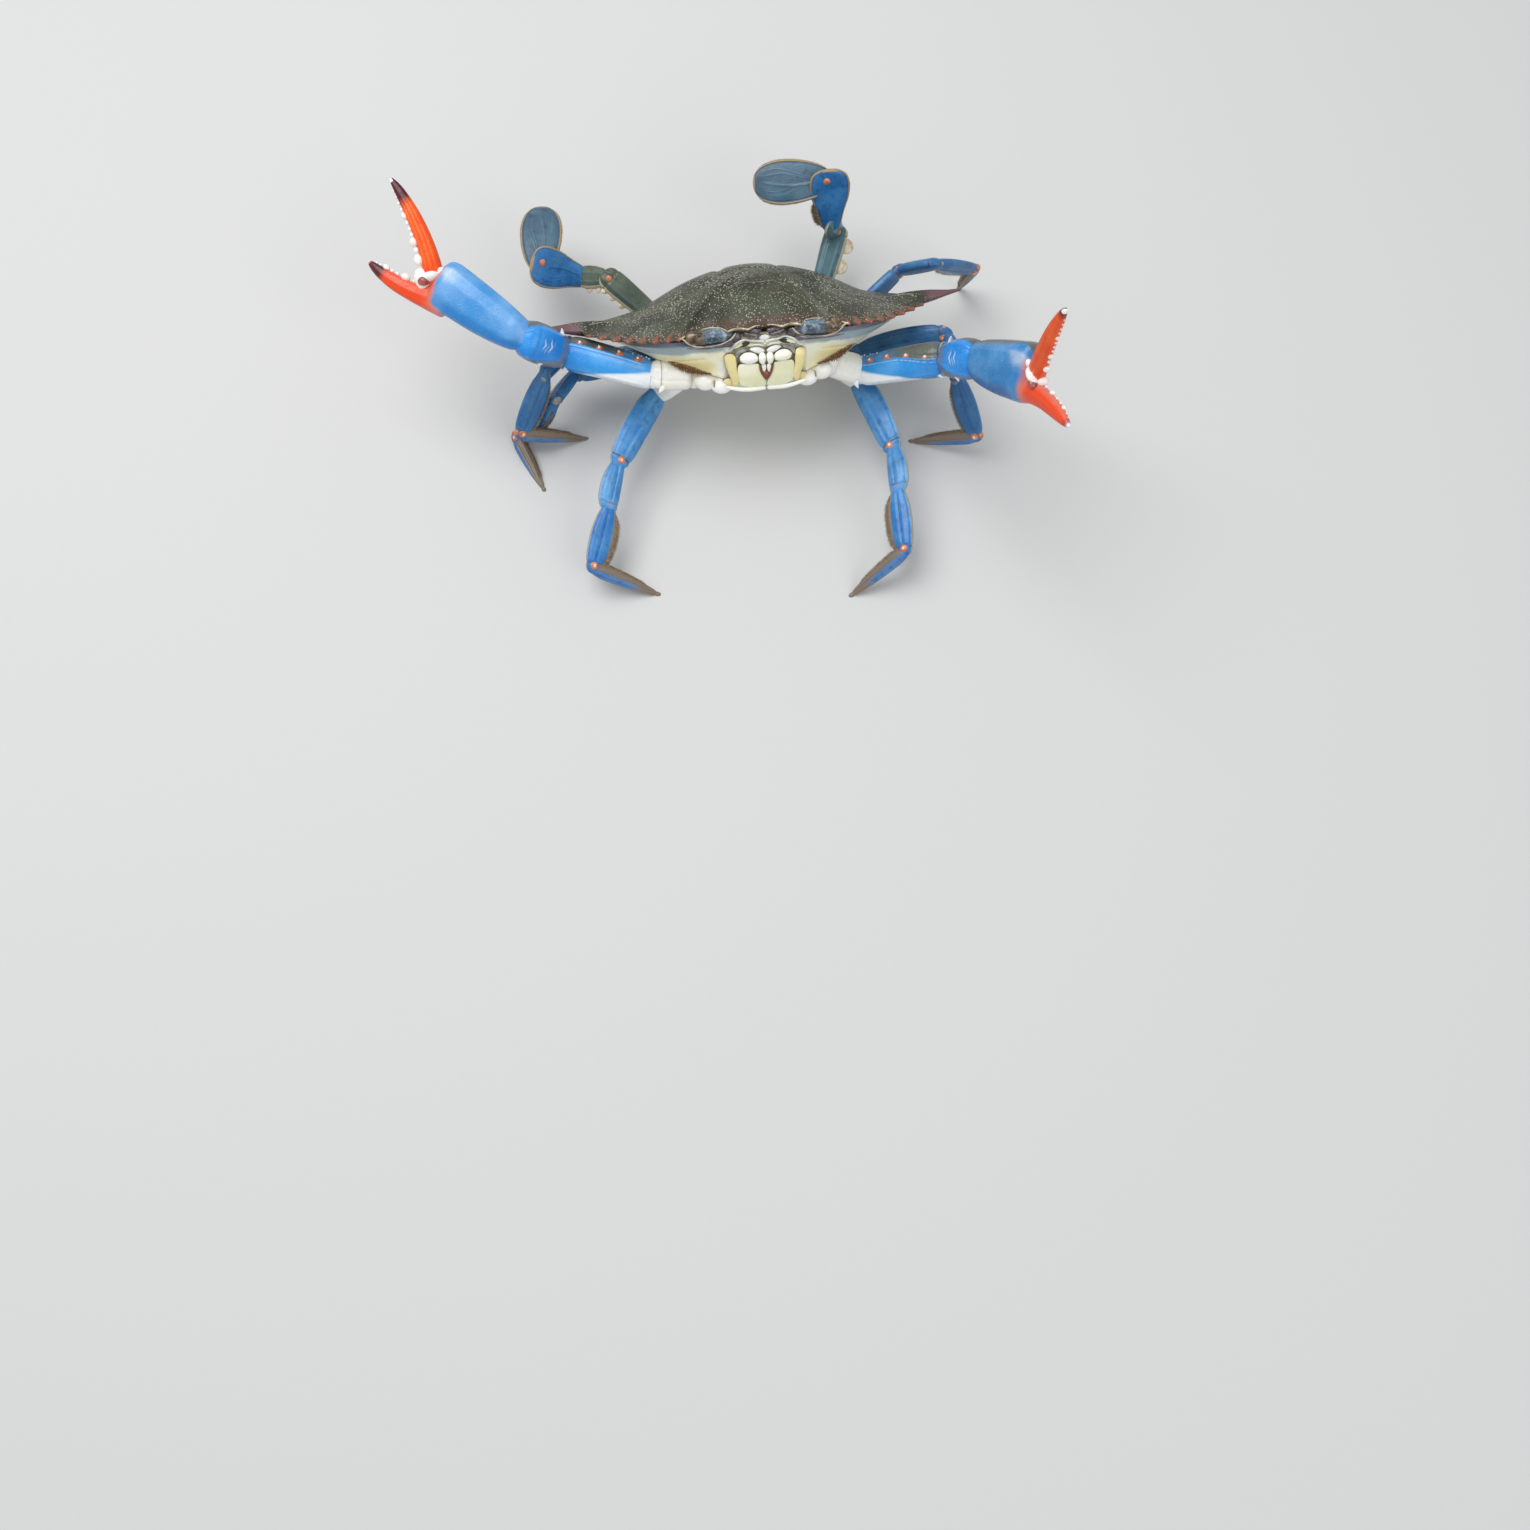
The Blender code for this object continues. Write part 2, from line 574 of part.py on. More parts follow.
# Rings of each article: (where along the length, length part, outer, inner, half thickness).
# The position is the first number in millimetres plus the second times the length.
PROFILES = {
    "leg_ischium": ((-1.5, 0, 3.0, 3.0, 2.5), (2, 0, 3.7, 3.7, 2.9), (-2, 1, 3.9, 3.9, 2.9),
                    (1.2, 1, 3.3, 3.3, 2.5), (2.6, 1, 1.8, 1.8, 1.4)),
    "leg_merus": ((-2, 0, 2.2, 2.2, 1.6), (1.5, 0, 4.0, 3.4, 2.3), (0, 0.25, 5.5, 3.9, 2.6),
                  (0, 0.6, 5.9, 4.0, 2.6), (-4, 1, 4.8, 3.9, 2.5), (0, 1, 3.6, 3.3, 2.2),
                  (2.4, 1, 1.8, 1.8, 1.3)),
    "leg_carpus": ((-1.5, 0, 1.8, 1.8, 1.5), (1.5, 0, 3.2, 2.3, 2.0), (0, 0.45, 4.7, 2.7, 2.2),
                   (-2.5, 1, 4.6, 2.9, 2.1), (0.4, 1, 3.6, 2.8, 1.9), (1.9, 1, 1.7, 1.7, 1.1)),
    "leg_propodus": ((-1.5, 0, 1.7, 1.7, 1.2), (1.5, 0, 2.7, 3.0, 1.7), (0, 0.35, 3.9, 4.7, 1.9),
                     (0, 0.7, 3.8, 4.7, 1.8), (-1.5, 1, 2.9, 3.4, 1.6), (0.9, 1, 2.3, 2.5, 1.3),
                     (1.9, 1, 1.2, 1.2, 0.8)),
    "leg_dactyl": ((-1, 0, 1.3, 1.3, 0.9), (1.5, 0, 2.5, 2.4, 1.4), (0, 0.3, 2.6, 2.6, 1.45),
                   (0, 0.65, 1.9, 1.9, 1.15), (0, 0.88, 1.1, 1.1, 0.8), (0.4, 1, 0.55, 0.55, 0.5)),
    "paddle_ischium": ((-2, 0, 3.0, 3.0, 2.6), (2, 0, 3.9, 3.9, 2.9), (-2, 1, 4.1, 4.1, 2.7),
                       (1.3, 1, 3.4, 3.4, 2.2), (2.6, 1, 1.8, 1.8, 1.3)),
    "paddle_merus": ((-1.5, 0, 2.2, 2.2, 1.6), (1.5, 0, 3.7, 3.5, 2.2), (0, 0.5, 4.6, 4.4, 2.4),
                     (-2, 1, 4.7, 4.5, 2.2), (1, 1, 3.9, 3.8, 1.9), (2.4, 1, 2.0, 2.0, 1.1)),
    "paddle_carpus": ((-1.5, 0, 2.0, 2.0, 1.3), (1.5, 0, 3.2, 3.2, 1.8), (0, 0.5, 4.1, 3.9, 1.9),
                      (-1.5, 1, 4.2, 3.9, 1.8), (0.9, 1, 3.3, 3.2, 1.4), (2.0, 1, 1.7, 1.7, 0.9)),
    "paddle_propodus": ((-2.2, 0, 2.4, 2.4, 0.9), (0.5, 0, 3.8, 3.6, 1.25), (0, 0.28, 5.9, 5.5, 1.4),
                        (0, 0.6, 7.6, 7.1, 1.4), (0, 0.88, 7.9, 7.3, 1.3),
                        (1.2, 1, 6.4, 5.8, 1.1), (3.2, 1, 3.0, 2.8, 0.8)),
    "paddle_dactyl": ((-1, 0, 1.6, 1.6, 0.8), (1.5, 0, 3.8, 3.8, 1.0), (0, 0.2, 5.9, 5.8, 1.1),
                      (0, 0.45, 7.5, 7.3, 1.1), (0, 0.7, 7.6, 7.4, 1.0), (0, 0.88, 6.0, 5.8, 0.85),
                      (0, 0.97, 3.6, 3.6, 0.65), (0, 1, 1.6, 1.6, 0.5)),
    "claw_ischium": ((-2, 0, 4.4, 4.4, 4.0), (2, 0, 5.4, 5.4, 4.8), (-2, 1, 5.7, 5.7, 5.0),
                     (1.5, 1, 4.8, 4.8, 4.2), (3, 1, 2.6, 2.6, 2.2)),
    "claw_merus": ((-2.5, 0, 3.0, 3.0, 2.8), (2, 0, 5.0, 4.8, 4.2), (0, 0.3, 6.3, 5.2, 5.2),
                   (0, 0.65, 7.0, 5.4, 5.7), (-4, 1, 6.9, 5.6, 5.7), (0.5, 1, 5.8, 5.0, 4.8),
                   (3, 1, 3.0, 3.0, 2.5)),
    "claw_carpus": ((-2.5, 0, 3.0, 3.0, 2.8), (1.5, 0, 5.6, 5.4, 4.9), (0, 0.45, 7.0, 6.7, 6.2),
                    (-3, 1, 7.1, 6.8, 6.0), (0.5, 1, 5.9, 5.7, 4.9), (2.8, 1, 3.0, 3.0, 2.4)),
    "claw_propodus": ((-2.5, 0, 2.8, 2.8, 2.6), (1.5, 0, 4.5, 4.9, 4.2), (0, 0.2, 5.4, 6.5, 5.2),
                      (0, 0.45, 6.8, 8.5, 5.9), (0, 0.7, 7.6, 9.6, 6.1), (-3.2, 1, 7.8, 10.0, 5.9),
                      (-1.0, 1, 7.0, 9.4, 5.1), (0.4, 1, 5.0, 7.4, 3.4)),
}
AROUND = {"claw": 14, "leg": 10, "paddle": 12}


def build_article(limb, side, index, joints, directions, grow=0.0):
    kind = limb.split("_")[0]
    name = limb + "_" + side + "_" + ARTICLES[index]
    if kind == "claw" and index == 3:
        name = limb + "_" + side + "_palm"
    length = LENGTHS[limb][index]
    d, across, flat = article_frame(limb, side, index, directions)
    start = joints[index]
    if kind == "paddle" and index == 4:
        start = start - flat * PADDLE_LAP
    centres = []
    sizes = []
    for offset, part, outer, inner, thick in PROFILES[kind + "_" + ARTICLES[index]]:
        centres.append(start + d * (offset + part * length))
        if name.endswith("palm"):
            outer *= PALM_SCALE[side]
            inner *= PALM_SCALE[side]
        sizes.append((outer, inner, thick))
    n = len(centres)
    return loft(name, centres, [d] * n, [across] * n, [flat] * n, sizes, AROUND[kind], grow)


def finger_path(base, frame, degrees, leaning, length, bend, bow):
    """A finger's centre line: it leaves at an angle, bows out and bends in near its tip."""
    d, across, flat = frame
    a = math.radians(degrees)
    lean = math.radians(leaning)
    along = math.cos(lean) * (d * math.cos(a) + across * math.sin(a)) + math.sin(lean) * flat
    inward = d * math.sin(a) - across * math.cos(a)
    path = []
    for t in (-0.05, 0.06, 0.22, 0.42, 0.62, 0.8, 0.92, 1.0):
        swing = bend * t * t + bow * 4.0 * t * (1.0 - t)
        path.append(base + along * (length * t) + inward * swing)
    return path


FINGER_SIZES = ((2.5, 2.5, 2.3), (3.3, 3.3, 2.8), (3.3, 3.1, 2.7), (3.0, 2.7, 2.5),
                (2.5, 2.2, 2.1), (1.8, 1.6, 1.5), (1.2, 1.1, 1.1), (0.45, 0.45, 0.45))
POLLEX_SIZES = ((5.4, 5.6, 3.6), (4.8, 5.0, 3.6), (3.7, 4.0, 3.2), (3.0, 3.3, 2.7),
                (2.4, 2.7, 2.2), (1.7, 1.9, 1.6), (1.1, 1.2, 1.1), (0.45, 0.45, 0.45))


def claw_finger_lines(side, joints, directions):
    """The centre lines of the movable finger and of the fixed one."""
    d, across, flat = article_frame("claw", side, 3, directions)
    end = joints[4]
    frame = (d, across, flat)
    scale = PALM_SCALE[side]
    hinge = end + d * 1.0 + across * FINGER_BASE[side] * scale
    root = end - d * 4.0 + across * POLLEX_BASE[side] * scale
    finger = finger_path(hinge, frame, FINGER_OPEN[side], FINGER_LEAN[side], FINGER_LENGTH, 3.0,
                         -FINGER_BOW[side])
    pollex = finger_path(root, frame, POLLEX_OPEN[side], POLLEX_LEAN[side], POLLEX_LENGTH + 4.0,
                         -3.0, POLLEX_BOW[side])
    return finger, pollex, d, across, flat


def finger_solid(name, path, flat, side, sizes, grow=0.0):
    forward = []
    across = []
    for i in range(len(path)):
        a = path[max(i - 1, 0)]
        b = path[min(i + 1, len(path) - 1)]
        d = unit(b - a)
        forward.append(d)
        across.append(np.cross(flat, d) * SHELL_SIDES[side])
    return loft(name, path, forward, across, [flat] * len(path), sizes, 10, grow)


def finger_teeth(path, across, inward, sizes, spots):
    """Rounded teeth along a finger's cutting edge: (part of the length, height, radius)."""
    made = []
    for where, height, radius in spots:
        i = where * (len(path) - 1)
        k = int(i)
        t = i - k
        centre = path[k] * (1 - t) + path[min(k + 1, len(path) - 1)] * t
        depth = sizes[k][1] * (1 - t) + sizes[min(k + 1, len(path) - 1)][1] * t
        made.append(spike(centre + inward * (depth - 0.4), inward, height, radius))
    return made


FINGER_TEETH = ((0.26, 2.2, 1.7), (0.42, 1.5, 1.2), (0.54, 1.2, 0.9), (0.66, 1.1, 0.8),
                (0.80, 1.0, 0.6))
POLLEX_TEETH = ((0.40, 1.3, 1.2), (0.54, 1.5, 1.2), (0.67, 1.3, 0.9), (0.82, 1.0, 0.7))
MERUS_SPINES = (0.38, 0.60, 0.82)


def build_claw(side, joints, directions, mats):
    """One cheliped: ischium, merus, carpus, palm with its fixed finger, and the finger."""
    made = []
    for index in range(4):
        ob = build_article("claw", side, index, joints, directions)
        d, across, flat = article_frame("claw", side, index, directions)
        extras = []
        if index == 1:
            for part in MERUS_SPINES:
                root = joints[1] + d * (LENGTHS["claw"][1] * part) + across * 4.6 + flat * 3.6
                extras.append(spike(root, across * 0.6 + flat * 0.7 + d * 0.3, 3.6, 1.3))
        if index == 2:
            length = LENGTHS["claw"][2]
            root = joints[2] + d * (length * 0.3) + across * 5.0 + flat * 2.6
            extras.append(spike(root, across + flat * 0.5 + d * 0.3, 3.4, 1.3))
            root = joints[2] + d * (length * 0.8) - across * 4.6 + flat * 3.0
            extras.append(spike(root, -across + flat * 0.4 + d * 0.4, 3.4, 1.3))
        if index == 3:
            finger, pollex, d, across, flat = claw_finger_lines(side, joints, directions)
            extras.append(finger_solid("pollex", pollex, flat, side, POLLEX_SIZES))
        if extras:
            combine(ob, extras, "UNION")
        if index == 3:
            inward = unit(across - 0.1 * d)
            teeth = finger_teeth(pollex, across, inward, POLLEX_SIZES, POLLEX_TEETH)
            combine(ob, teeth, "UNION")
        if index > 0:
            parent = build_article("claw", side, index - 1, joints, directions, GAP)
            combine(ob, [parent], "DIFFERENCE")
        finish(ob, mats["claw_" + ARTICLES[index]])
        made.append(ob)
    finger, pollex, d, across, flat = claw_finger_lines(side, joints, directions)
    ob = finger_solid("claw_" + side + "_finger", finger, flat, side, FINGER_SIZES)
    a = math.radians(FINGER_OPEN[side])
    inward = unit(d * math.sin(a) - across * math.cos(a))
    combine(ob, finger_teeth(finger, across, inward, FINGER_SIZES, FINGER_TEETH), "UNION")
    palm = build_article("claw", side, 3, joints, directions, GAP)
    fixed = finger_solid("fixed", pollex, flat, side, POLLEX_SIZES, GAP)
    combine(ob, [palm, fixed], "DIFFERENCE")
    finish(ob, mats["claw_finger"])
    made.append(ob)
    return made


def cut_at_floor(ob):
    """A flat foot: what lies under the floor is cut away and closed level."""
    bm = bmesh.new()
    bm.from_mesh(ob.data)
    geometry = bm.verts[:] + bm.edges[:] + bm.faces[:]
    cut = bmesh.ops.bisect_plane(
        bm, geom=geometry, dist=1e-7, plane_co=(0, 0, 0), plane_no=(0, 0, 1), clear_inner=True
    )
    edges = [e for e in cut["geom_cut"] if isinstance(e, bmesh.types.BMEdge)]
    bmesh.ops.contextual_create(bm, geom=edges)
    bmesh.ops.recalc_face_normals(bm, faces=bm.faces)
    bm.to_mesh(ob.data)
    bm.free()


def build_leg(limb, side, joints, directions, mats):
    kind = limb.split("_")[0]
    made = []
    for index in range(5):
        ob = build_article(limb, side, index, joints, directions)
        if index > 0:
            parent = build_article(limb, side, index - 1, joints, directions, GAP)
            combine(ob, [parent], "DIFFERENCE")
        if kind == "leg" and index == 4:
            cut_at_floor(ob)
        finish(ob, mats[kind + "_" + ARTICLES[index]])
        made.append(ob)
    return made


def build_crab():
    for ob in list(bpy.data.objects):
        bpy.data.objects.remove(ob, do_unlink=True)
    c = COLOURS
    mats = {
        "carapace": material("carapace_shell", c["olive"], 0.42),
        "underbody": material("underbody_shell", c["cream"], 0.40),
        "apron": material("apron_shell", c["white"], 0.42),
        "maxilliped": material("maxilliped_shell", c["cream"], 0.38),
        "eye": material("eye_cornea", c["eye"], 0.12),
        "antenna": material("antenna_whip", c["brown"], 0.50),
        "claw_ischium": material("claw_ischium_shell", c["white"], 0.35),
        "claw_merus": material("claw_merus_shell", c["blue"], 0.32),
        "claw_carpus": material("claw_carpus_shell", c["sky"], 0.28),
        "claw_propodus": material("claw_palm_shell", c["sky"], 0.32),
        "claw_finger": material("claw_finger_shell", c["orange"], 0.30),
    }
    for article in ARTICLES:
        mats["leg_" + article] = material("leg_" + article + "_shell", c["denim"], 0.40)
        mats["paddle_" + article] = material("paddle_" + article + "_shell", c["teal"], 0.42)

    carapace = build_carapace()
    underbody = build_underbody()
    hip_cutters = []
    for limb in HIPS:
        for side in SHELL_SIDES:
            joints, directions = limb_joints(limb, side)
            if limb == "claw":
                build_claw(side, joints, directions, mats)
            else:
                build_leg(limb, side, joints, directions, mats)
            hip_cutters.append(build_article(limb, side, 0, joints, directions, GAP))
            hip_cutters.append(build_article(limb, side, 1, joints, directions, GAP))
            if limb == "paddle":
                combine(carapace, [build_article(limb, side, 0, joints, directions, GAP)],
                        "DIFFERENCE")
    face_cutters = []
    for side in SHELL_SIDES:
        finish(build_eye(side), mats["eye"])
        finish(build_maxilliped(side), mats["maxilliped"])
        finish(build_antenna(side), mats["antenna"])
        face_cutters.append(build_eye(side, GAP))
        face_cutters.append(build_maxilliped(side, GAP))
        face_cutters.append(build_antenna(side, GAP))
    for cutter in hip_cutters + face_cutters:
        combine(underbody, [cutter], "DIFFERENCE")
    for side in SHELL_SIDES:
        combine(carapace, [build_eye(side, GAP)], "DIFFERENCE")
    finish(carapace, mats["carapace"])
    finish(underbody, mats["underbody"])
    finish(build_apron(), mats["apron"])

    root = bpy.data.objects.new("blue_crab", None)
    bpy.context.scene.collection.objects.link(root)
    for ob in list(bpy.data.objects):
        if ob.type == "MESH":
            ob.parent = root


build_crab()
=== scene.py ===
import math

import bmesh
import bpy
import numpy as np
from mathutils import Matrix, Vector
from mathutils.kdtree import KDTree


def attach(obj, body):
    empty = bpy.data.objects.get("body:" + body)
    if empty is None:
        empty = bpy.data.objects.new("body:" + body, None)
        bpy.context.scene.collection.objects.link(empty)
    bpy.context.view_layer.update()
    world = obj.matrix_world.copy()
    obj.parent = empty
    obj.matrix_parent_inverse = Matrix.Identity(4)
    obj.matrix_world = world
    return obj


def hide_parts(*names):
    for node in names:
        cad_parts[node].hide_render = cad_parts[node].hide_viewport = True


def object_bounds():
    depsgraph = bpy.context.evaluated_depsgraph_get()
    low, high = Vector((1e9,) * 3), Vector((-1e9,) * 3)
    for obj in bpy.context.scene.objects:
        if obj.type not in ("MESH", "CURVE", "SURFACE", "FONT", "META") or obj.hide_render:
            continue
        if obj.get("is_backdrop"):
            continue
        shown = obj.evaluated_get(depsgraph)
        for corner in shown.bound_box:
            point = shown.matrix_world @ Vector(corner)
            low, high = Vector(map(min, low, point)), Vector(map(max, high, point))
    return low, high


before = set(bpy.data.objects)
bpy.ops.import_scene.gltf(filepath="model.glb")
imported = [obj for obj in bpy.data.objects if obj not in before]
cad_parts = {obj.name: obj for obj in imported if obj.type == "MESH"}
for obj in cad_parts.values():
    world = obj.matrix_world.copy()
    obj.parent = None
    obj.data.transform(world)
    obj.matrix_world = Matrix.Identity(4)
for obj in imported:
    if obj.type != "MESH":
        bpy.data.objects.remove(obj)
CAD_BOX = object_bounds()
RNG = np.random.default_rng(11)

# Sizes and pose of the crab, in millimetres and degrees, as its solids have them
MM = 0.001
SPINE_TO_SPINE = 155.0
SPINE_LENGTH = 15.5
BODY_FRONT = -33.0
BODY_REAR = 29.5
DOME_HEIGHT = 12.0
DOME_WIDTH = 40.0
DOME_BRIM = 0.35
MARGIN_DROOP = 3.3
BODY_DEPTH = 23.6
BODY_HEIGHT = 40.5
BODY_PITCH = 41.7
BODY_ROLL = 2.5
BODY_YAW = 1.8
FLOOR_BITE = 0.3
CENTRE_X = 21.03
CENTRE_Y = 21.72
FINGER_LENGTH = 37.0
POLLEX_LENGTH = 26.0
POLLEX_SINK = 4.0
FINGER_BEND = 3.0
PADDLE_LAP = 2.6
HIPS = {
    "claw": (24.5, -16.0, -20.5),
    "leg_1": (28.0, -6.2, -23.2),
    "leg_2": (29.5, 3.3, -21.0),
    "leg_3": (28.0, 12.0, -17.0),
    "paddle": (25.5, 20.5, -7.0),
}
LENGTHS = {
    "claw": (13.4, 35.5, 19.0, 36.0),
    "leg_1": (13.2, 31.8, 17.3, 23.4, 26.9),
    "leg_2": (10.0, 33.5, 17.0, 24.5, 28.0),
    "leg_3": (9.0, 30.0, 17.0, 25.0, 23.5),
    "paddle": (11.6, 22.2, 11.2, 19.0, 28.4),
}
POSE = {
    "claw_right": ((-179, 13), (156, -3.5), (-170.5, 50), (140.5, 12.5)),
    "claw_left": ((-1, -31), (-16.5, 29), (-56, 52), (-60, 45.5)),
    "leg_1_right": ((176.6, -46.5), (-122.6, -1.2), (-107, -5.9), (-110.4, -11.6), (-19,)),
    "leg_1_left": ((-10.9, -44.6), (-72.9, 1.4), (-91.7, 3.3), (-89.8, -10.3), (-155.4,)),
    "leg_2_right": ((-167, 14.5), (158.5, -7.5), (-120, 30), (-129.5, -40.5), (9.5,)),
    "leg_2_left": ((-12, -6.5), (-6.5, 22.5), (-83.5, -3.5), (-64.5, -46.5), (159.5,)),
    "leg_3_right": ((-171, -15.5), (-177, -6.5), (-120, 18), (-166.5, -45), (-68,)),
    "leg_3_left": ((30, -25), (31, 26), (-25, 38), (23, -41), (107.5,)),
    "paddle_right": ((158.2, -30.2), (139.9, 22.2), (158, -21.1), (-174.5, 37.2), (85.3, -0.4)),
    "paddle_left": ((64.6, -29.8), (65.5, 25.4), (-132.8, 63.3), (92.1, 70.4), (174.7, -4.6)),
}
BACK_WAY = (-95, 58)
FACES = {"claw": BACK_WAY, "paddle": BACK_WAY}
PALM_FACES = {"right": (-102, 64), "left": (-171, 25)}
FINGER_OPEN = {"right": 37.0, "left": 44.5}
POLLEX_OPEN = {"right": -12.7, "left": -23.0}
FINGER_LEAN = {"right": 2.0, "left": 17.5}
POLLEX_LEAN = {"right": -9.0, "left": 3.0}
FINGER_BASE = {"right": -2.2, "left": -1.8}
POLLEX_BASE = {"right": -6.4, "left": -5.1}
FINGER_BOW = {"right": 1.3, "left": 0.4}
POLLEX_BOW = {"right": 1.3, "left": -2.0}
PALM_SCALE = {"right": 1.0, "left": 1.1}
ARTICLES = ("ischium", "merus", "carpus", "propodus", "dactyl")
SIDES = {"right": -1.0, "left": 1.0}
PAINTS = ("tone", "edge", "tip", "line", "warm", "dusk")


# Small mathematics


def unit(v):
    v = np.asarray(v, float)
    return v / np.maximum(np.linalg.norm(v, axis=-1, keepdims=True), 1e-12)


def heading(azimuth, elevation):
    a = math.radians(azimuth)
    e = math.radians(elevation)
    return np.array((math.cos(e) * math.cos(a), math.cos(e) * math.sin(a), math.sin(e)))


def smooth(t):
    t = np.clip(t, 0.0, 1.0)
    return t * t * (3.0 - 2.0 * t)


def rise(x, start, width):
    """Goes from 0 at the start to 1 a width later."""
    return smooth((x - start) / width)


def fall(x, end, width):
    """Goes from 1 a width before the end to 0 at the end."""
    return smooth((end - x) / width)


def bell(x, centre, width):
    return np.exp(-(((x - centre) / width) ** 2))


def power(x, exponent):
    return np.sign(x) * np.abs(x) ** exponent


def turn(axis, degrees):
    c = math.cos(math.radians(degrees))
    s = math.sin(math.radians(degrees))
    if axis == "x":
        return np.array(((1, 0, 0), (0, c, -s), (0, s, c)))
    if axis == "y":
        return np.array(((c, 0, s), (0, 1, 0), (-s, 0, c)))
    return np.array(((c, -s, 0), (s, c, 0), (0, 0, 1)))


BODY_TURN = turn("z", BODY_YAW) @ turn("y", BODY_ROLL) @ turn("x", -BODY_PITCH)


def from_body(points):
    """Body-frame points in the world, in millimetres."""
    return np.asarray(points, float) @ BODY_TURN.T + np.array((CENTRE_X, CENTRE_Y, BODY_HEIGHT))


def grid_from_body(grid):
    return from_body(grid.reshape(-1, 3)).reshape(grid.shape)


def mirrored(sign, points):
    return [(sign * x, y, z) for x, y, z in points]


def spline(points, count, closed=False):
    """A smooth curve through points of any dimension, sampled evenly along its length."""
    p = np.asarray(points, float)
    if closed:
        p = np.vstack((p, p[:1]))
    gaps = np.maximum(np.linalg.norm(np.diff(p, axis=0), axis=1), 1e-6) ** 0.5
    t = np.concatenate(([0.0], np.cumsum(gaps)))
    slope = np.diff(p, axis=0) / gaps[:, None]
    tangent = np.empty_like(p)
    w = gaps[1:] / (gaps[1:] + gaps[:-1])
    tangent[1:-1] = slope[:-1] * w[:, None] + slope[1:] * (1 - w)[:, None]
    tangent[0] = slope[0]
    tangent[-1] = slope[-1]
    if closed:
        k = gaps[0] / (gaps[0] + gaps[-1])
        tangent[0] = tangent[-1] = slope[-1] * k + slope[0] * (1 - k)

    def at(u):
        i = np.clip(np.searchsorted(t, u, side="right") - 1, 0, len(gaps) - 1)
        h = gaps[i][:, None]
        x = ((u - t[i]) / gaps[i])[:, None]
        a = 2 * x ** 3 - 3 * x ** 2 + 1
        b = x ** 3 - 2 * x ** 2 + x
        c = -2 * x ** 3 + 3 * x ** 2
        d = x ** 3 - x ** 2
        return a * p[i] + b * h * tangent[i] + c * p[i + 1] + d * h * tangent[i + 1]

    fine = np.linspace(0.0, t[-1], 24 * len(p))
    path = at(fine)
    run = np.concatenate(([0.0], np.cumsum(np.linalg.norm(np.diff(path, axis=0), axis=1))))
    want = np.linspace(0.0, run[-1], count + 1)[:-1] if closed else np.linspace(0.0, run[-1], count)
    return at(np.interp(want, run, fine))


# Meshes


class Piece:
    """Gathers the points, faces and painted values of one piece, then makes its object."""

    def __init__(self, name):
        self.name = name
        self.points = []
        self.quads = []
        self.quad_material = []
        self.tris = []
        self.tri_material = []
        self.paint = {key: [] for key in PAINTS}
        self.patches = []
        self.count = 0

    def add(self, points, quads=(), tris=(), paint=None, material=0, patch=None):
        points = np.asarray(points, float).reshape(-1, 3)
        n = len(points)
        for key in PAINTS:
            value = (paint or {}).get(key, 0.0)
            self.paint[key].append(np.broadcast_to(np.asarray(value, float).reshape(-1), (n,)))
        self.points.append(points)
        if len(quads):
            self.quads.append(np.asarray(quads, int) + self.count)
            self.quad_material.append(np.full(len(quads), material))
        if len(tris):
            self.tris.append(np.asarray(tris, int) + self.count)
            self.tri_material.append(np.full(len(tris), material))
        self.patches.append(np.zeros((n, 2)) if patch is None else patch)
        self.count += n

    def grid(self, grid, paint=None, material=0):
        """Quads over a grid of rows of points. Each row is a ring."""
        rows, n = grid.shape[:2]
        i, j = np.meshgrid(np.arange(rows - 1), np.arange(n), indexing="ij")
        k = (j + 1) % n
        quads = np.stack((i * n + j, i * n + k, (i + 1) * n + k, (i + 1) * n + j), -1).reshape(-1, 4)
        flat = {key: np.broadcast_to(value, (rows, n)) for key, value in (paint or {}).items()}
        self.add(grid, quads, paint=flat, material=material)

    def finish(self, materials, replaces=(), uv=False, merge=True):
        points = np.concatenate(self.points) * MM
        quads = np.concatenate(self.quads) if self.quads else np.zeros((0, 4), int)
        tris = np.concatenate(self.tris) if self.tris else np.zeros((0, 3), int)
        which = np.concatenate(self.quad_material + self.tri_material).astype(np.int32)
        mesh = bpy.data.meshes.new(self.name)
        mesh.vertices.add(len(points))
        mesh.vertices.foreach_set("co", points.astype(np.float32).ravel())
        corners = np.concatenate((quads.ravel(), tris.ravel())).astype(np.int32)
        mesh.loops.add(len(corners))
        mesh.loops.foreach_set("vertex_index", corners)
        mesh.polygons.add(len(quads) + len(tris))
        totals = np.concatenate((np.full(len(quads), 4), np.full(len(tris), 3)))
        starts = np.concatenate(([0], np.cumsum(totals)[:-1])).astype(np.int32)
        mesh.polygons.foreach_set("loop_start", starts)
        mesh.polygons.foreach_set("material_index", which)
        for key in PAINTS:
            layer = mesh.attributes.new(key, "FLOAT", "POINT")
            layer.data.foreach_set("value", np.concatenate(self.paint[key]).astype(np.float32))
        if uv:
            layer = mesh.uv_layers.new(name="OFBake")
            spots = np.concatenate(self.patches)[corners]
            layer.uv.foreach_set("vector", spots.astype(np.float32).ravel())
        mesh.update(calc_edges=True)
        mesh.validate()
        for material in materials:
            mesh.materials.append(material)
        if merge:
            tidy_mesh(mesh)
        mesh.shade_smooth()
        ob = bpy.data.objects.new(self.name, mesh)
        bpy.context.scene.collection.objects.link(ob)
        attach(ob, "root")
        if replaces:
            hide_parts(*replaces)
        return ob


WELD_METRES = 2e-6


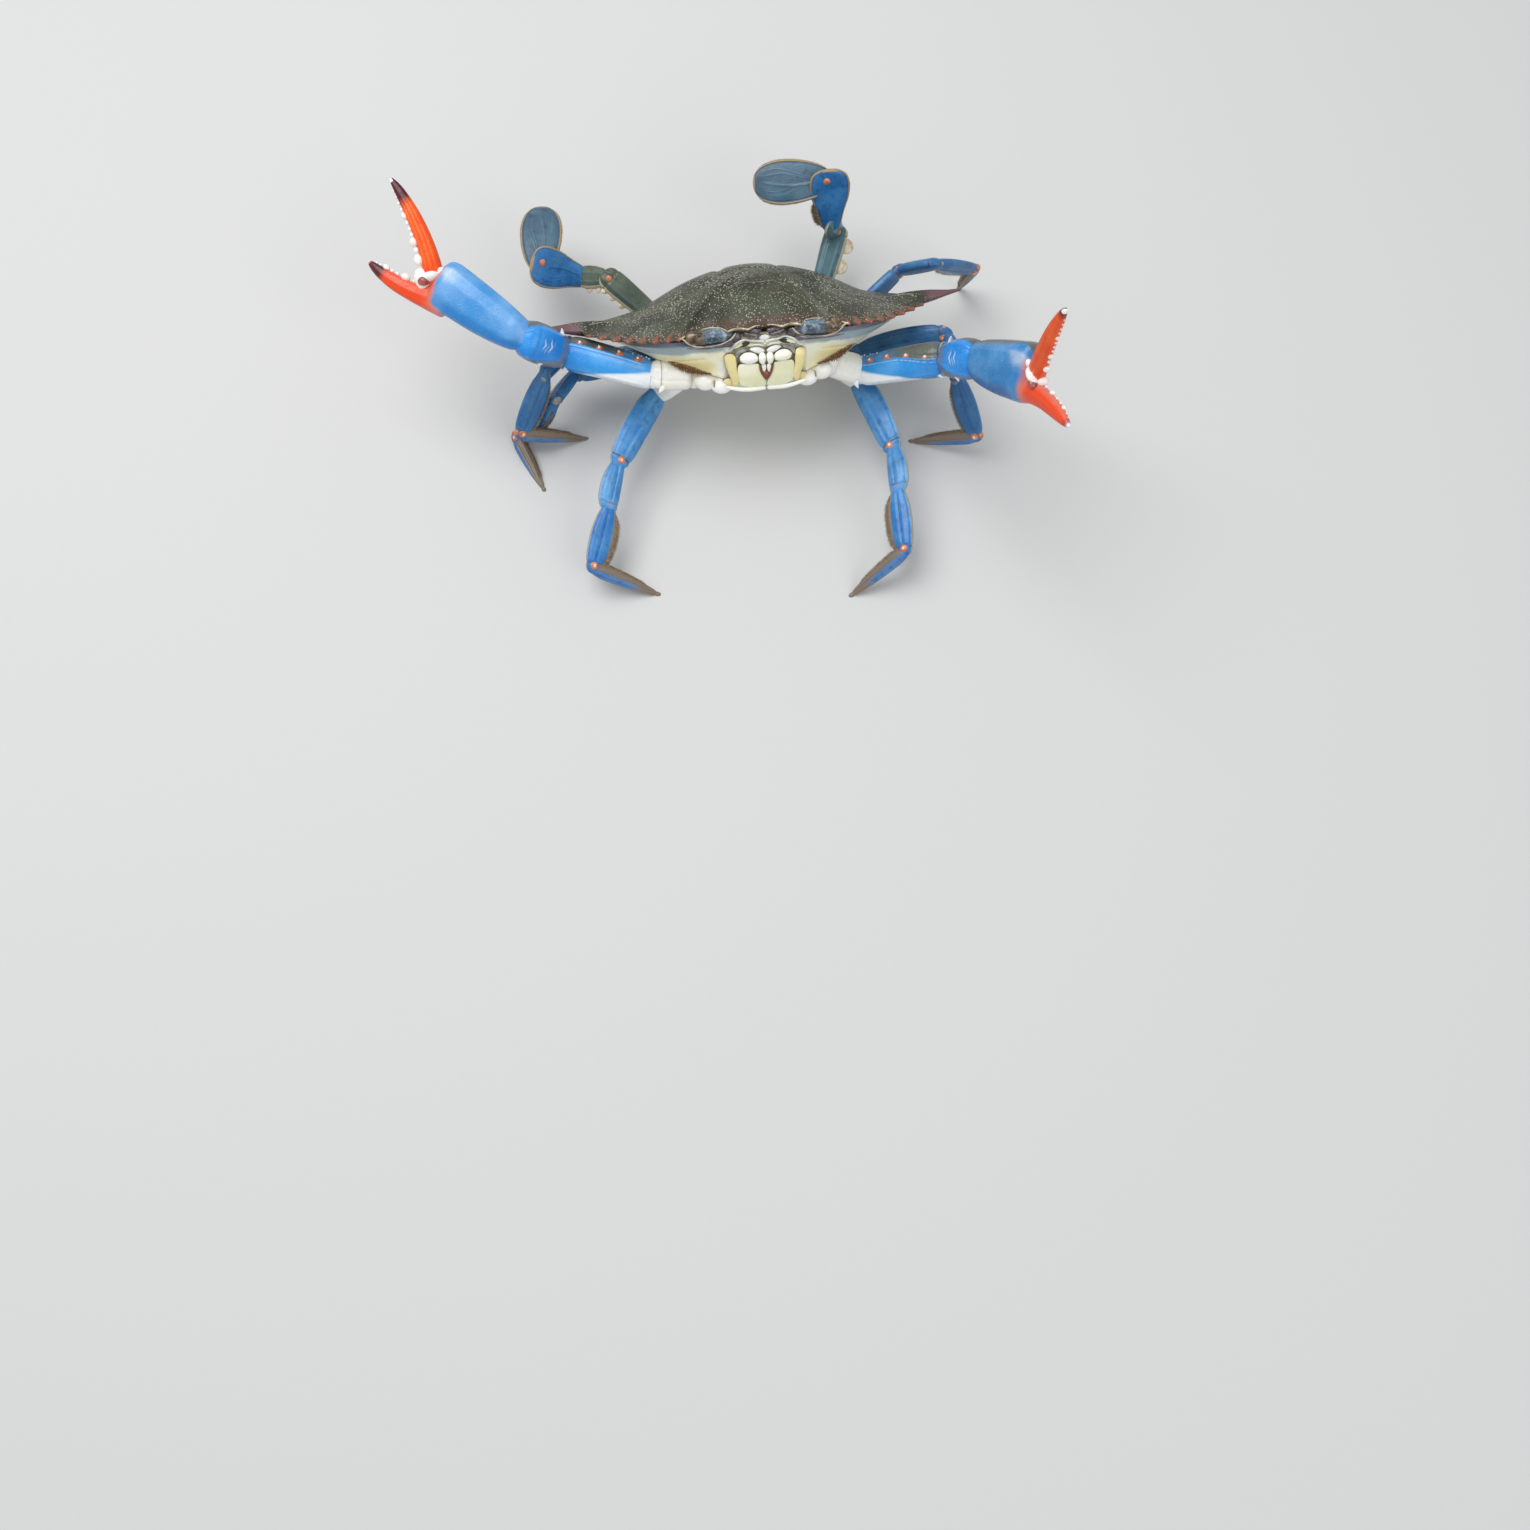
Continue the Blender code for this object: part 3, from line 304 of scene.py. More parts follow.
def tidy_mesh(mesh):
    """Welds the points that meet, such as the poles of closed shapes, and faces all outward."""
    bm = bmesh.new()
    bm.from_mesh(mesh)
    bmesh.ops.remove_doubles(bm, verts=bm.verts, dist=WELD_METRES)
    bmesh.ops.recalc_face_normals(bm, faces=bm.faces)
    bm.to_mesh(mesh)
    bm.free()


NEAR_POINTS = 5
NEAR_BLEND = 0.05


def fused(piece, voxel, passes, blur):
    """Melts a piece's closed shells into one skin, with the paints of the nearest old points."""
    old = np.concatenate(piece.points)
    mesh = bpy.data.meshes.new("melt")
    mesh.from_pydata(old.tolist(), [], np.concatenate(piece.quads).tolist())
    ob = bpy.data.objects.new("melt", mesh)
    bpy.context.scene.collection.objects.link(ob)
    remesh = ob.modifiers.new("remesh", "REMESH")
    remesh.mode = "VOXEL"
    remesh.voxel_size = voxel
    graph = bpy.context.evaluated_depsgraph_get()
    made = bpy.data.meshes.new_from_object(ob.evaluated_get(graph))
    bpy.data.objects.remove(ob)
    points = np.empty(len(made.vertices) * 3, np.float32)
    made.vertices.foreach_get("co", points)
    points = points.reshape(-1, 3).astype(float)
    quads = np.array([tuple(face.vertices) for face in made.polygons])
    pairs = np.empty(len(made.edges) * 2, np.int32)
    made.edges.foreach_get("vertices", pairs)
    a, b = pairs.reshape(-1, 2).T
    degree = np.bincount(np.concatenate((a, b)), minlength=len(points)).astype(float)

    def averaged(values):
        out = np.empty_like(values)
        for k in range(values.shape[1]):
            out[:, k] = (np.bincount(a, values[b, k], len(points))
                         + np.bincount(b, values[a, k], len(points))) / degree
        return 0.4 * values + 0.6 * out
    tree = KDTree(len(old))
    for k, point in enumerate(old):
        tree.insert(point, k)
    tree.balance()
    table = np.stack([np.concatenate(piece.paint[key]) for key in PAINTS], -1)
    values = np.empty((len(points), len(PAINTS)))
    for k, point in enumerate(points):
        near = tree.find_n(point, NEAR_POINTS)
        weight = np.array([1.0 / (hit[2] + NEAR_BLEND) for hit in near])
        values[k] = weight @ table[[hit[1] for hit in near]] / weight.sum()
    for _ in range(passes):
        points = averaged(points)
    for _ in range(blur):
        values = averaged(values)
    bpy.data.meshes.remove(made)
    bpy.data.meshes.remove(mesh)
    return points, quads, dict(zip(PAINTS, values.T))


# Materials


class Finish:
    """Builds one node material: layers of paint, mottling, grains and bump."""

    def __init__(self, name):
        self.material = bpy.data.materials.new(name)
        self.material.use_nodes = True
        self.tree = self.material.node_tree
        self.shader = self.tree.nodes["Principled BSDF"]
        self.coords = self.tree.nodes.new("ShaderNodeTexCoord").outputs["Object"]
        self.heights = []

    def put(self, socket, value):
        if isinstance(value, bpy.types.NodeSocket):
            self.tree.links.new(value, socket)
        else:
            socket.default_value = value

    def node(self, kind, inputs, **settings):
        made = self.tree.nodes.new(kind)
        for key, value in settings.items():
            setattr(made, key, value)
        for key, value in inputs.items():
            self.put(made.inputs[key], value)
        return made

    def noise(self, scale, detail):
        values = {"Scale": scale, "Detail": detail, "Roughness": 0.55, "Vector": self.coords}
        return self.node("ShaderNodeTexNoise", values).outputs["Fac"]

    def cells(self, scale):
        values = {"Scale": scale, "Randomness": 1.0, "Vector": self.coords}
        return self.node("ShaderNodeTexVoronoi", values, feature="F1").outputs["Distance"]

    def value(self, name):
        return self.node("ShaderNodeAttribute", {}, attribute_name=name).outputs["Fac"]

    def math(self, operation, a, b):
        return self.node("ShaderNodeMath", {0: a, 1: b}, operation=operation).outputs[0]

    def remap(self, x, low, high, to_low=0.0, to_high=1.0):
        values = {"Value": x, "From Min": low, "From Max": high, "To Min": to_low, "To Max": to_high}
        made = self.node("ShaderNodeMapRange", values, interpolation_type="SMOOTHSTEP")
        return made.outputs["Result"]

    def mix(self, factor, a, b):
        a, b = ((*c, 1.0) if isinstance(c, tuple) else c for c in (a, b))
        return self.node("ShaderNodeMix", {0: factor, 6: a, 7: b}, data_type="RGBA").outputs[2]

    def mottled(self, scale, detail, low, high, dark, light):
        """Two colours mixed by a noise, from low to high."""
        return self.mix(self.remap(self.noise(scale, detail), low, high), dark, light)

    def paint(self, colour, name, new, low, high, wobble, scale):
        """Lays a colour over another where the painted value is high, with a ragged edge."""
        ragged = self.math("MULTIPLY", self.math("SUBTRACT", self.noise(scale, 3.0), 0.5), wobble)
        total = self.math("ADD", self.value(name), ragged)
        return self.mix(self.remap(total, low, high), colour, new)

    def coats(self, colour, *rows):
        """Lays one paint after the other: value, colour, low, high, wobble and scale of each."""
        for row in rows:
            colour = self.paint(colour, *row)
        return colour

    def height(self, value, amount):
        self.heights.append(self.math("MULTIPLY", value, amount))

    def grains(self, cells, width, amount):
        """A bump over the middle of every cell."""
        self.height(self.remap(cells, 0.1, width, 1.0, 0.0), amount)

    def close(self, colour, rough=(0.3, 0.5), coat=0.0, coat_rough=0.15, bump=0.0002, sub=0.0,
              specular=0.5):
        s = self.shader.inputs
        self.put(s["Base Color"], colour)
        self.put(s["Roughness"], self.remap(self.noise(350.0, 5.0), 0.3, 0.7, *rough))
        for name, value in (("Coat Weight", coat), ("Coat Roughness", coat_rough),
                            ("Specular IOR Level", specular)):
            s[name].default_value = value
        if sub:
            s["Subsurface Weight"].default_value = sub
            s["Subsurface Radius"].default_value = (0.8, 0.5, 0.3)
            s["Subsurface Scale"].default_value = 0.0015
        if self.heights:
            total = self.heights[0]
            for other in self.heights[1:]:
                total = self.math("ADD", total, other)
            made = self.node("ShaderNodeBump", {"Distance": bump, "Strength": 1.0, "Height": total})
            self.put(s["Normal"], made.outputs["Normal"])
        return self.material


OLIVE = (0.066, 0.070, 0.042)
OLIVE_DARK = (0.028, 0.029, 0.017)
OLIVE_GREEN = (0.070, 0.086, 0.052)
PALE_GRAIN = (0.47, 0.46, 0.37)
RED_BROWN = (0.098, 0.050, 0.034)
CORAL = (0.25, 0.085, 0.052)
MAUVE = (0.150, 0.075, 0.090)
CREAM = (0.90, 0.87, 0.50)
WHITE = (0.97, 0.96, 0.85)
BAND = (0.33, 0.42, 0.43)
YELLOW = (0.86, 0.73, 0.32)
SEAM = (0.17, 0.13, 0.07)
AZURE_DEEP = (0.006, 0.190, 0.580)
NAVY = (0.012, 0.075, 0.270)
TEAL = (0.060, 0.180, 0.230)
TAN = (0.36, 0.25, 0.13)
BROWN = (0.110, 0.060, 0.030)
ORANGE = (0.80, 0.058, 0.002)
OLIVE_CLAW = (0.110, 0.125, 0.100)
SALMON = (0.68, 0.19, 0.13)
MAROON = (0.085, 0.008, 0.014)
IVORY = (0.950, 0.900, 0.860)
JOINT_ORANGE = (0.560, 0.150, 0.060)


def carapace_finish():
    n = Finish("carapace_finish")
    colour = n.mottled(90.0, 5.0, 0.35, 0.68, OLIVE_DARK, OLIVE)
    colour = n.mottled(38.0, 3.0, 0.50, 0.68, colour, OLIVE_GREEN)
    colour = n.coats(colour,
                     ("tone", RED_BROWN, 0.15, 1.1, 0.5, 500.0),
                     ("tip", MAUVE, 0.2, 0.9, 0.35, 300.0),
                     ("dusk", (0.045, 0.026, 0.030), 0.3, 0.9, 0.3, 500.0))
    sizes = n.remap(n.noise(70.0, 2.0), 0.36, 0.62, 0.20, 0.33)
    fine = n.cells(1080.0)
    bare = n.math("SUBTRACT", 1.0, n.math("MULTIPLY", n.value("tip"), 0.9))
    grain = n.math("MULTIPLY", n.math("LESS_THAN", fine, sizes), bare)
    colour = n.mix(n.math("MULTIPLY", grain, 0.9), colour, PALE_GRAIN)
    small = n.cells(1900.0)
    dust = n.math("MULTIPLY", n.remap(small, 0.10, 0.24, 1.0, 0.0), 0.45)
    colour = n.mix(n.math("MULTIPLY", dust, bare), colour, PALE_GRAIN)
    colour = n.coats(colour,
                     ("edge", CORAL, 0.35, 0.9, 0.6, 900.0),
                     ("line", (0.34, 0.31, 0.21), 0.50, 1.1, 0.7, 1500.0),
                     ("warm", (0.46, 0.20, 0.12), 0.45, 0.95, 0.3, 900.0))
    n.grains(fine, 0.4, 0.9)
    n.grains(small, 0.5, 0.35)
    n.height(n.noise(220.0, 4.0), 0.8)
    return n.close(colour, (0.36, 0.52), 0.10, 0.3, 0.00022, specular=0.35)


def face_finish():
    n = Finish("face_finish")
    colour = n.coats(n.mottled(70.0, 3.0, 0.35, 0.7, CREAM, WHITE),
                     ("edge", YELLOW, 0.15, 1.05, 0.6, 200.0),
                     ("tone", BAND, 0.15, 0.95, 0.8, 220.0),
                     ("line", SEAM, 0.35, 0.85, 0.35, 900.0),
                     ("tip", OLIVE, 0.3, 0.8, 0.5, 350.0),
                     # dusk: dark brown, painted shade below the hem and over the mouth field
                     ("dusk", (0.075, 0.050, 0.030), 0.3, 0.9, 0.4, 500.0),
                     ("warm", (0.30, 0.33, 0.52), 0.3, 0.9, 0.3, 500.0))
    n.grains(n.cells(1500.0), 0.5, 0.22)
    n.height(n.noise(160.0, 4.0), 0.7)
    return n.close(colour, (0.26, 0.40), 0.22, 0.14, 0.00016, 0.10)


def plate_finish(name, base, light, seam=SEAM):
    n = Finish(name)
    colour = n.coats(n.mottled(120.0, 4.0, 0.35, 0.68, base, light),
                     ("tone", YELLOW, 0.3, 1.0, 0.4, 300.0),
                     ("dusk", (0.26, 0.26, 0.20), 0.3, 1.0, 0.4, 400.0),
                     ("edge", seam, 0.55, 1.0, 0.3, 900.0),
                     ("tip", (0.30, 0.075, 0.03), 0.3, 0.9, 0.4, 600.0))
    n.height(n.noise(300.0, 4.0), 0.6)
    n.grains(n.cells(1300.0), 0.5, 0.15)
    return n.close(colour, (0.22, 0.36), 0.30, 0.12, 0.00014, 0.12)


def claw_finish(name, light, mid, deep):
    """The arm, wrist and palm: azure, paler to the body, olive above, warm at the finger."""
    n = Finish(name)
    colour = n.mottled(85.0, 4.0, 0.35, 0.68, mid, light)
    colour = n.paint(colour, "tone", deep, 0.15, 1.0, 0.35, 220.0)
    fine = n.cells(1250.0)
    speck = n.math("MULTIPLY", n.remap(fine, 0.12, 0.26, 1.0, 0.0), 0.22)
    colour = n.mix(speck, colour, (0.42, 0.62, 0.84))
    colour = n.coats(colour,
                     ("tip", OLIVE_CLAW, 0.15, 0.95, 0.55, 260.0),
                     # edge: near-white, the own white of the arm and palm, and the painted highlights of
                     # the wrist
                     ("edge", (0.86, 0.89, 0.90), 0.15, 1.0, 0.3, 250.0),
                     ("line", NAVY, 0.4, 0.95, 0.4, 1100.0),
                     ("warm", SALMON, 0.10, 0.55, 0.25, 250.0),
                     ("warm", ORANGE, 0.50, 0.95, 0.25, 250.0),
                     ("dusk", MAROON, 0.25, 0.85, 0.35, 320.0))
    n.grains(fine, 0.45, 0.35)
    n.height(n.noise(170.0, 5.0), 0.9)
    return n.close(colour, (0.24, 0.42), 0.28, 0.14, 0.00018, specular=0.4)


def finger_finish():
    n = Finish("finger_finish")
    colour = n.coats(n.mottled(120.0, 4.0, 0.3, 0.7, ORANGE, (0.90, 0.13, 0.008)),
                     ("line", (0.42, 0.022, 0.010), 0.25, 1.1, 0.35, 500.0),
                     ("tone", SALMON, 0.2, 1.0, 0.3, 250.0),
                     ("dusk", (0.16, 0.05, 0.085), 0.25, 0.95, 0.3, 300.0),
                     ("edge", MAROON, 0.15, 0.85, 0.4, 320.0),
                     ("tip", IVORY, 0.3, 0.7, 0.15, 600.0))
    n.height(n.noise(260.0, 5.0), 0.7)
    n.grains(n.cells(1400.0), 0.5, 0.2)
    return n.close(colour, (0.22, 0.38), 0.20, 0.12, 0.00015, specular=0.3)


def leg_finish(name, base, light, rim, stripe=NAVY, dash=0.9, felt=TAN):
    """The legs and paddles: mottled, with a dashed stripe, pale rims and felted edges."""
    n = Finish(name)
    colour = n.mottled(110.0, 5.0, 0.35, 0.7, base, light)
    colour = n.mix(n.math("MULTIPLY", n.remap(n.noise(420.0, 3.0), 0.52, 0.72), 0.6), colour,
                   tuple(0.55 * c for c in base))
    colour = n.coats(colour,
                     ("warm", TEAL, 0.25, 1.1, 0.5, 250.0),
                     ("tone", stripe, 0.42, 0.95, dash, 800.0),
                     ("edge", rim, 0.3, 0.85, 0.4, 700.0),
                     ("line", BROWN, 0.35, 0.85, 0.35, 900.0),
                     ("dusk", felt, 0.2, 0.95, 0.5, 700.0),
                     ("tip", JOINT_ORANGE, 0.25, 0.95, 0.35, 700.0))
    n.grains(n.cells(1500.0), 0.45, 0.3)
    n.height(n.noise(260.0, 5.0), 0.9)
    return n.close(colour, (0.28, 0.46), 0.22, 0.16, 0.00016, specular=0.4)


def plain_finish(name, dark, light, scale, rough, coat=0.0, sub=0.0):
    n = Finish(name)
    colour = n.mottled(scale, 4.0, 0.32, 0.68, dark, light)
    colour = n.paint(colour, "tone", tuple(0.45 * c for c in dark), 0.3, 1.0, 0.3, scale * 3)
    n.height(n.noise(scale * 3.0, 4.0), 0.4)
    return n.close(colour, rough, coat, 0.05, 0.00012, sub)


def eye_finish():
    """The eye: a glossy blue-grey stalk with a painted highlight, turning into a brown mottled bulb at
    its outer end.
    """
    n = Finish("eye_finish")
    stalk = n.mottled(300.0, 4.0, 0.38, 0.62, (0.030, 0.055, 0.085), (0.11, 0.165, 0.215))
    stalk = n.mottled(900.0, 2.0, 0.50, 0.70, stalk, (0.26, 0.36, 0.42))
    # Painted highlight: pale blue-grey where the painted value edge is high
    stalk = n.paint(stalk, "edge", (0.46, 0.55, 0.62), 0.3, 1.1, 0.5, 600.0)
    bulb = n.mottled(420.0, 4.0, 0.40, 0.62, (0.030, 0.017, 0.009), (0.17, 0.105, 0.05))
    bulb = n.mottled(1500.0, 2.0, 0.54, 0.72, bulb, (0.34, 0.24, 0.13))
    colour = n.paint(stalk, "tone", bulb, 0.10, 0.90, 0.70, 450.0)
    colour = n.paint(colour, "dusk", (0.010, 0.007, 0.006), 0.3, 0.9, 0.3, 700.0)
    n.height(n.noise(500.0, 4.0), 0.25)
    return n.close(colour, (0.16, 0.28), 0.40, 0.10, 0.00008)


def hair_finish(name, dark, light):
    n = Finish(name)
    colour = n.mix(n.value("tone"), dark, light)
    colour = n.mottled(2500.0, 2.0, 0.35, 0.65, colour, tuple(0.6 * c for c in dark))
    return n.close(colour, (0.5, 0.7), 0.0, 0.2)


# Each kind of finish with the materials made of it: the arguments after the material's name
FINISHES = (
    (plate_finish, {
        "plate": ((0.82, 0.82, 0.52), (0.93, 0.92, 0.70)),
        "white_plate": ((0.93, 0.92, 0.76), (0.98, 0.97, 0.90)),
        "arch": ((0.62, 0.62, 0.60), (0.80, 0.80, 0.76)),
        "apron": ((0.62, 0.66, 0.62), (0.88, 0.87, 0.78), (0.20, 0.17, 0.13)),
        "ischium": ((0.94, 0.92, 0.80), (0.99, 0.98, 0.93), (0.34, 0.24, 0.12)),
    }),
    (claw_finish, {
        "arm": ((0.075, 0.36, 0.78), (0.012, 0.27, 0.70), AZURE_DEEP),
        "wrist": ((0.03, 0.30, 0.78), (0.006, 0.215, 0.68), (0.16, 0.19, 0.25)),
        "palm": ((0.140, 0.37, 0.72), (0.045, 0.265, 0.62), (0.008, 0.20, 0.58)),
        # The palm finish made darker, as painted shade on the left palm
        "palm_left_painted_shade": ((0.085, 0.30, 0.62), (0.018, 0.20, 0.50), (0.010, 0.10, 0.34)),
    }),
    (leg_finish, {
        "leg": ((0.045, 0.215, 0.51), (0.105, 0.33, 0.63), (0.30, 0.38, 0.42)),
        "leg_panel": ((0.020, 0.155, 0.45), (0.050, 0.24, 0.55), (0.34, 0.33, 0.24)),
        # leg_shade: the leg finish made darker, as painted shade for the folded second and third legs
        "leg_shade": ((0.020, 0.115, 0.300), (0.050, 0.190, 0.390), (0.20, 0.20, 0.16)),
        "dactyl": ((0.040, 0.150, 0.38), (0.085, 0.225, 0.45), (0.085, 0.070, 0.060),
                   (0.34, 0.27, 0.10), 0.4, (0.205, 0.155, 0.110)),
        "paddle": ((0.040, 0.095, 0.150), (0.070, 0.145, 0.205), TAN, TEAL, 1.2),
        "paddle_arm": ((0.050, 0.135, 0.175), (0.100, 0.200, 0.225), (0.46, 0.42, 0.27), TEAL, 1.2),
        "paddle_arm_olive": ((0.070, 0.095, 0.070), (0.120, 0.150, 0.105), (0.46, 0.42, 0.27), TEAL, 1.2),
        "paddle_blade": ((0.016, 0.140, 0.390), (0.050, 0.240, 0.540), TAN, TEAL, 1.2),
    }),
    (plain_finish, {
        "tooth": ((0.90, 0.78, 0.72), (0.98, 0.95, 0.92), 500.0, (0.15, 0.28), 0.5, 0.2),
        "joint": ((0.50, 0.125, 0.040), (0.68, 0.26, 0.11), 700.0, (0.25, 0.4), 0.35),
        # Peach, for the painted highlight in the middle of the legs' condyles
        "joint_painted_highlight": ((0.72, 0.44, 0.28), (0.90, 0.76, 0.60), 700.0, (0.25, 0.4), 0.35),
        "dome": ((0.42, 0.085, 0.028), (0.66, 0.19, 0.06), 600.0, (0.2, 0.35), 0.4),
        "socket_red": ((0.20, 0.035, 0.035), (0.50, 0.13, 0.11), 500.0, (0.25, 0.4), 0.4),
        "membrane": ((0.16, 0.15, 0.12), (0.34, 0.33, 0.26), 350.0, (0.3, 0.5), 0.2),
        "white_joint": ((0.80, 0.78, 0.76), (0.96, 0.95, 0.94), 500.0, (0.15, 0.3), 0.5),
        "rim": ((0.50, 0.40, 0.26), (0.80, 0.70, 0.52), 600.0, (0.25, 0.4), 0.3),
        "mauve": ((0.045, 0.032, 0.040), (0.15, 0.125, 0.15), 420.0, (0.2, 0.35), 0.5),
        # dark: near-black, painted shade inside the openings beside the mouth
        "dark": ((0.018, 0.013, 0.010), (0.05, 0.035, 0.025), 400.0, (0.4, 0.6)),
        # socket: olive-grey for the plates of painted shade beside the mouth
        "socket": ((0.17, 0.165, 0.13), (0.30, 0.31, 0.25), 420.0, (0.3, 0.45), 0.3),
    }),
    (hair_finish, {
        "hair": ((0.19, 0.130, 0.070), (0.40, 0.31, 0.185)),
        "mouth_hair": ((0.20, 0.085, 0.030), (0.46, 0.24, 0.09)),
    }),
)
M = {"carapace": carapace_finish(), "face": face_finish(), "finger": finger_finish(), "eye": eye_finish()}
for make_finish, table in FINISHES:
    for key, row in table.items():
        M[key] = make_finish(key + "_finish", *row)


# The back: one dense sheet over the CAD margin, with its teeth, spines, ridges and regions


def margin_height(x):
    a = np.abs(x)
    return -MARGIN_DROOP * rise(a, 6.0, 44.0) + 1.5 * rise(a, 61.0, 16.0)


def anterolateral(x):
    table = ((30, -31.6), (36, -29.4), (42, -26.0), (48, -21.6), (54, -16.2), (58, -11.6),
             (61.5, -7.0))
    return np.interp(x, [row[0] for row in table], [row[1] for row in table])


TOOTH_TIP = 0.36


def margin_points():
    """The left half of the margin from front to rear: (edge x, y, base x, y, tooth crest)."""
    f = BODY_FRONT
    rows = [
        (0.0, f + 2.4, 0.0, f + 1.6, 0.0),
        (3.0, f + 1.2, 3.0, f + 1.4, 0.0),
        (6.0, f - 2.0, 6.0, f + 1.0, 0.35),
        (9.3, f + 1.2, 9.3, f + 0.9, 0.0),
        (13.0, f - 1.4, 12.6, f + 1.2, 0.35),
        (15.0, f + 4.2, 15.0, f + 5.2, 0.0),
        (18.5, f + 6.2, 18.5, f + 7.2, 0.0),
        (23.0, f + 5.7, 23.0, f + 6.7, 0.0),
        (26.6, f + 3.1, 26.6, f + 4.5, 0.0),
        (29.8, f - 0.9, 29.2, f + 1.8, 1.0),
    ]
    first = 31.2
    last = 61.5
    teeth = 7
    for i in range(teeth):
        for part in (0.0, 0.16, 0.27, TOOTH_TIP, 0.46, 0.60, 0.76, 0.90):
            t = (i + part) / teeth
            x = first + (last - first) * t
            y = float(anterolateral(x))
            slope = float(anterolateral(x + 0.5) - anterolateral(x - 0.5))
            out = unit((slope, -1.0))
            if part <= TOOTH_TIP:
                height = (part / TOOTH_TIP) ** 1.35
            else:
                height = ((1.0 - part) / (1.0 - TOOTH_TIP)) ** 0.72
            reach = 0.1 + (1.95 + 0.75 * t) * height
            rows.append((x + out[0] * reach, y + out[1] * reach, x, y, height))
    root_y = float(anterolateral(last))
    tip = SPINE_TO_SPINE / 2.0
    mid = tip - SPINE_LENGTH * 0.5
    rows.append((last + 1.0, root_y + 1.4, last, root_y + 1.8, 0.0))
    rows.append((mid, -4.6, last + 0.2, -3.6, 0.0))
    rows.append((tip, -1.4, last + 0.3, -2.6, 0.0))
    rows.append((mid, 0.5, last + 0.2, -1.4, 0.0))
    rows.append((last + 0.4, 2.6, last - 0.2, 1.2, 0.0))
    for x, y in ((55.0, 5.8), (47.5, 11.2), (40.0, 16.4), (33.0, 21.6), (27.0, 25.2)):
        rows.append((x, y, x - 0.8, y - 0.8, 0.0))
    rows.append((21.0, BODY_REAR - 1.7, 20.6, BODY_REAR - 2.7, 0.0))
    rows.append((10.0, BODY_REAR - 0.3, 10.0, BODY_REAR - 1.3, 0.0))
    rows.append((0.0, BODY_REAR, 0.0, BODY_REAR - 1.0, 0.0))
    return rows


def margin_loop(step):
    """Both sides of the margin as one dense loop: edge points, base points and tooth crests."""
    half = np.array(margin_points())
    mirror = half[1:-1][::-1] * np.array((-1.0, 1.0, -1.0, 1.0, 1.0))
    corners = np.vstack((half, mirror, half[:1]))
    rows = []
    for a, b in zip(corners[:-1], corners[1:]):
        count = max(2, int(np.linalg.norm(b[:2] - a[:2]) / step))
        t = np.arange(count)[:, None] / count
        rows.append(a * (1 - t) + b * t)
    loop = np.vstack(rows)
    edge = loop[:, :2].copy()
    base = loop[:, 2:4].copy()
    for _ in range(2):
        edge = 0.5 * edge + 0.25 * (np.roll(edge, 1, 0) + np.roll(edge, -1, 0))
    for _ in range(60):
        base = 0.5 * base + 0.25 * (np.roll(base, 1, 0) + np.roll(base, -1, 0))
    return edge, base, loop[:, 4]


def regions(x, y):
    """Relief of the back: the swollen regions, the grooves between them and the ridge lines."""
    a = np.abs(x)
    h = 0.55 * bell(a, 10.0, 6.5) * bell(y, -17.0, 6.5)
    h += 0.55 * bell(a, 0.0, 7.0) * bell(y, 9.0, 6.0)
    h += 0.65 * bell(a, 28.0, 12.0) * bell(y, 4.0, 10.0)
    h += 0.35 * bell(a, 46.0, 9.0) * bell(y, -9.0, 6.0)
    groove_x = 9.5 + 2.5 * bell(y, 2.0, 8.0)
    h -= 0.75 * bell(a, groove_x, 1.7) * smooth((y + 8.0) / 6.0) * fall(y, 20.0, 8.0)
    h -= 0.55 * bell(y, 0.5 - 0.02 * a * a, 1.5) * fall(a, 13.0, 4.0)
    oblique = 0.55 * bell(y, -7.5 - 0.30 * (a - 14.0), 1.8)
    h -= oblique * rise(a, 13.0, 5.0) * fall(a, 36.0, 8.0)
    return h


def ridge_lines(x, y):
    """Fine granulated ridges that cross the back."""
    a = np.abs(x)
    arc = bell(y, -14.6 - 0.014 * a * a, 0.32) * fall(a, 14.0, 4.0)
    front = bell(y, -21.6 - 0.010 * (a - 9.0) ** 2, 0.28)
    front = front * rise(a, 3.0, 2.0) * fall(a, 17.0, 3.0)
    side_y = -15.6 + 10.5 * rise(a, 22.0, 34.0) + 1.6 * bell(a, 50.0, 9.0)
    side = bell(y, side_y, 0.34) * rise(a, 20.0, 4.0) * fall(a, 64.0, 4.0)
    rear = bell(y, BODY_REAR - 3.0 - 0.010 * a * a, 0.4) * fall(a, 26.0, 6.0) * 0.8
    return np.maximum(np.maximum(arc, front), np.maximum(side, rear))


def spine_swell(x, y):
    """The lateral spine is a cone: it stands proud of the thin margin above and below."""
    a = np.abs(x)
    axis = -2.6 + 0.9 * rise(a, 58.0, 18.0)
    width = 3.0 - 1.7 * rise(a, 58.0, 19.0)
    size = 2.2 - 1.60 * rise(a, 64.0, 13.5)
    return size * bell(y, axis, width) * rise(a, 46.0, 15.0)


BODY_MIDDLE = np.array((0.0, -1.0))
TEETH_START = 0.965


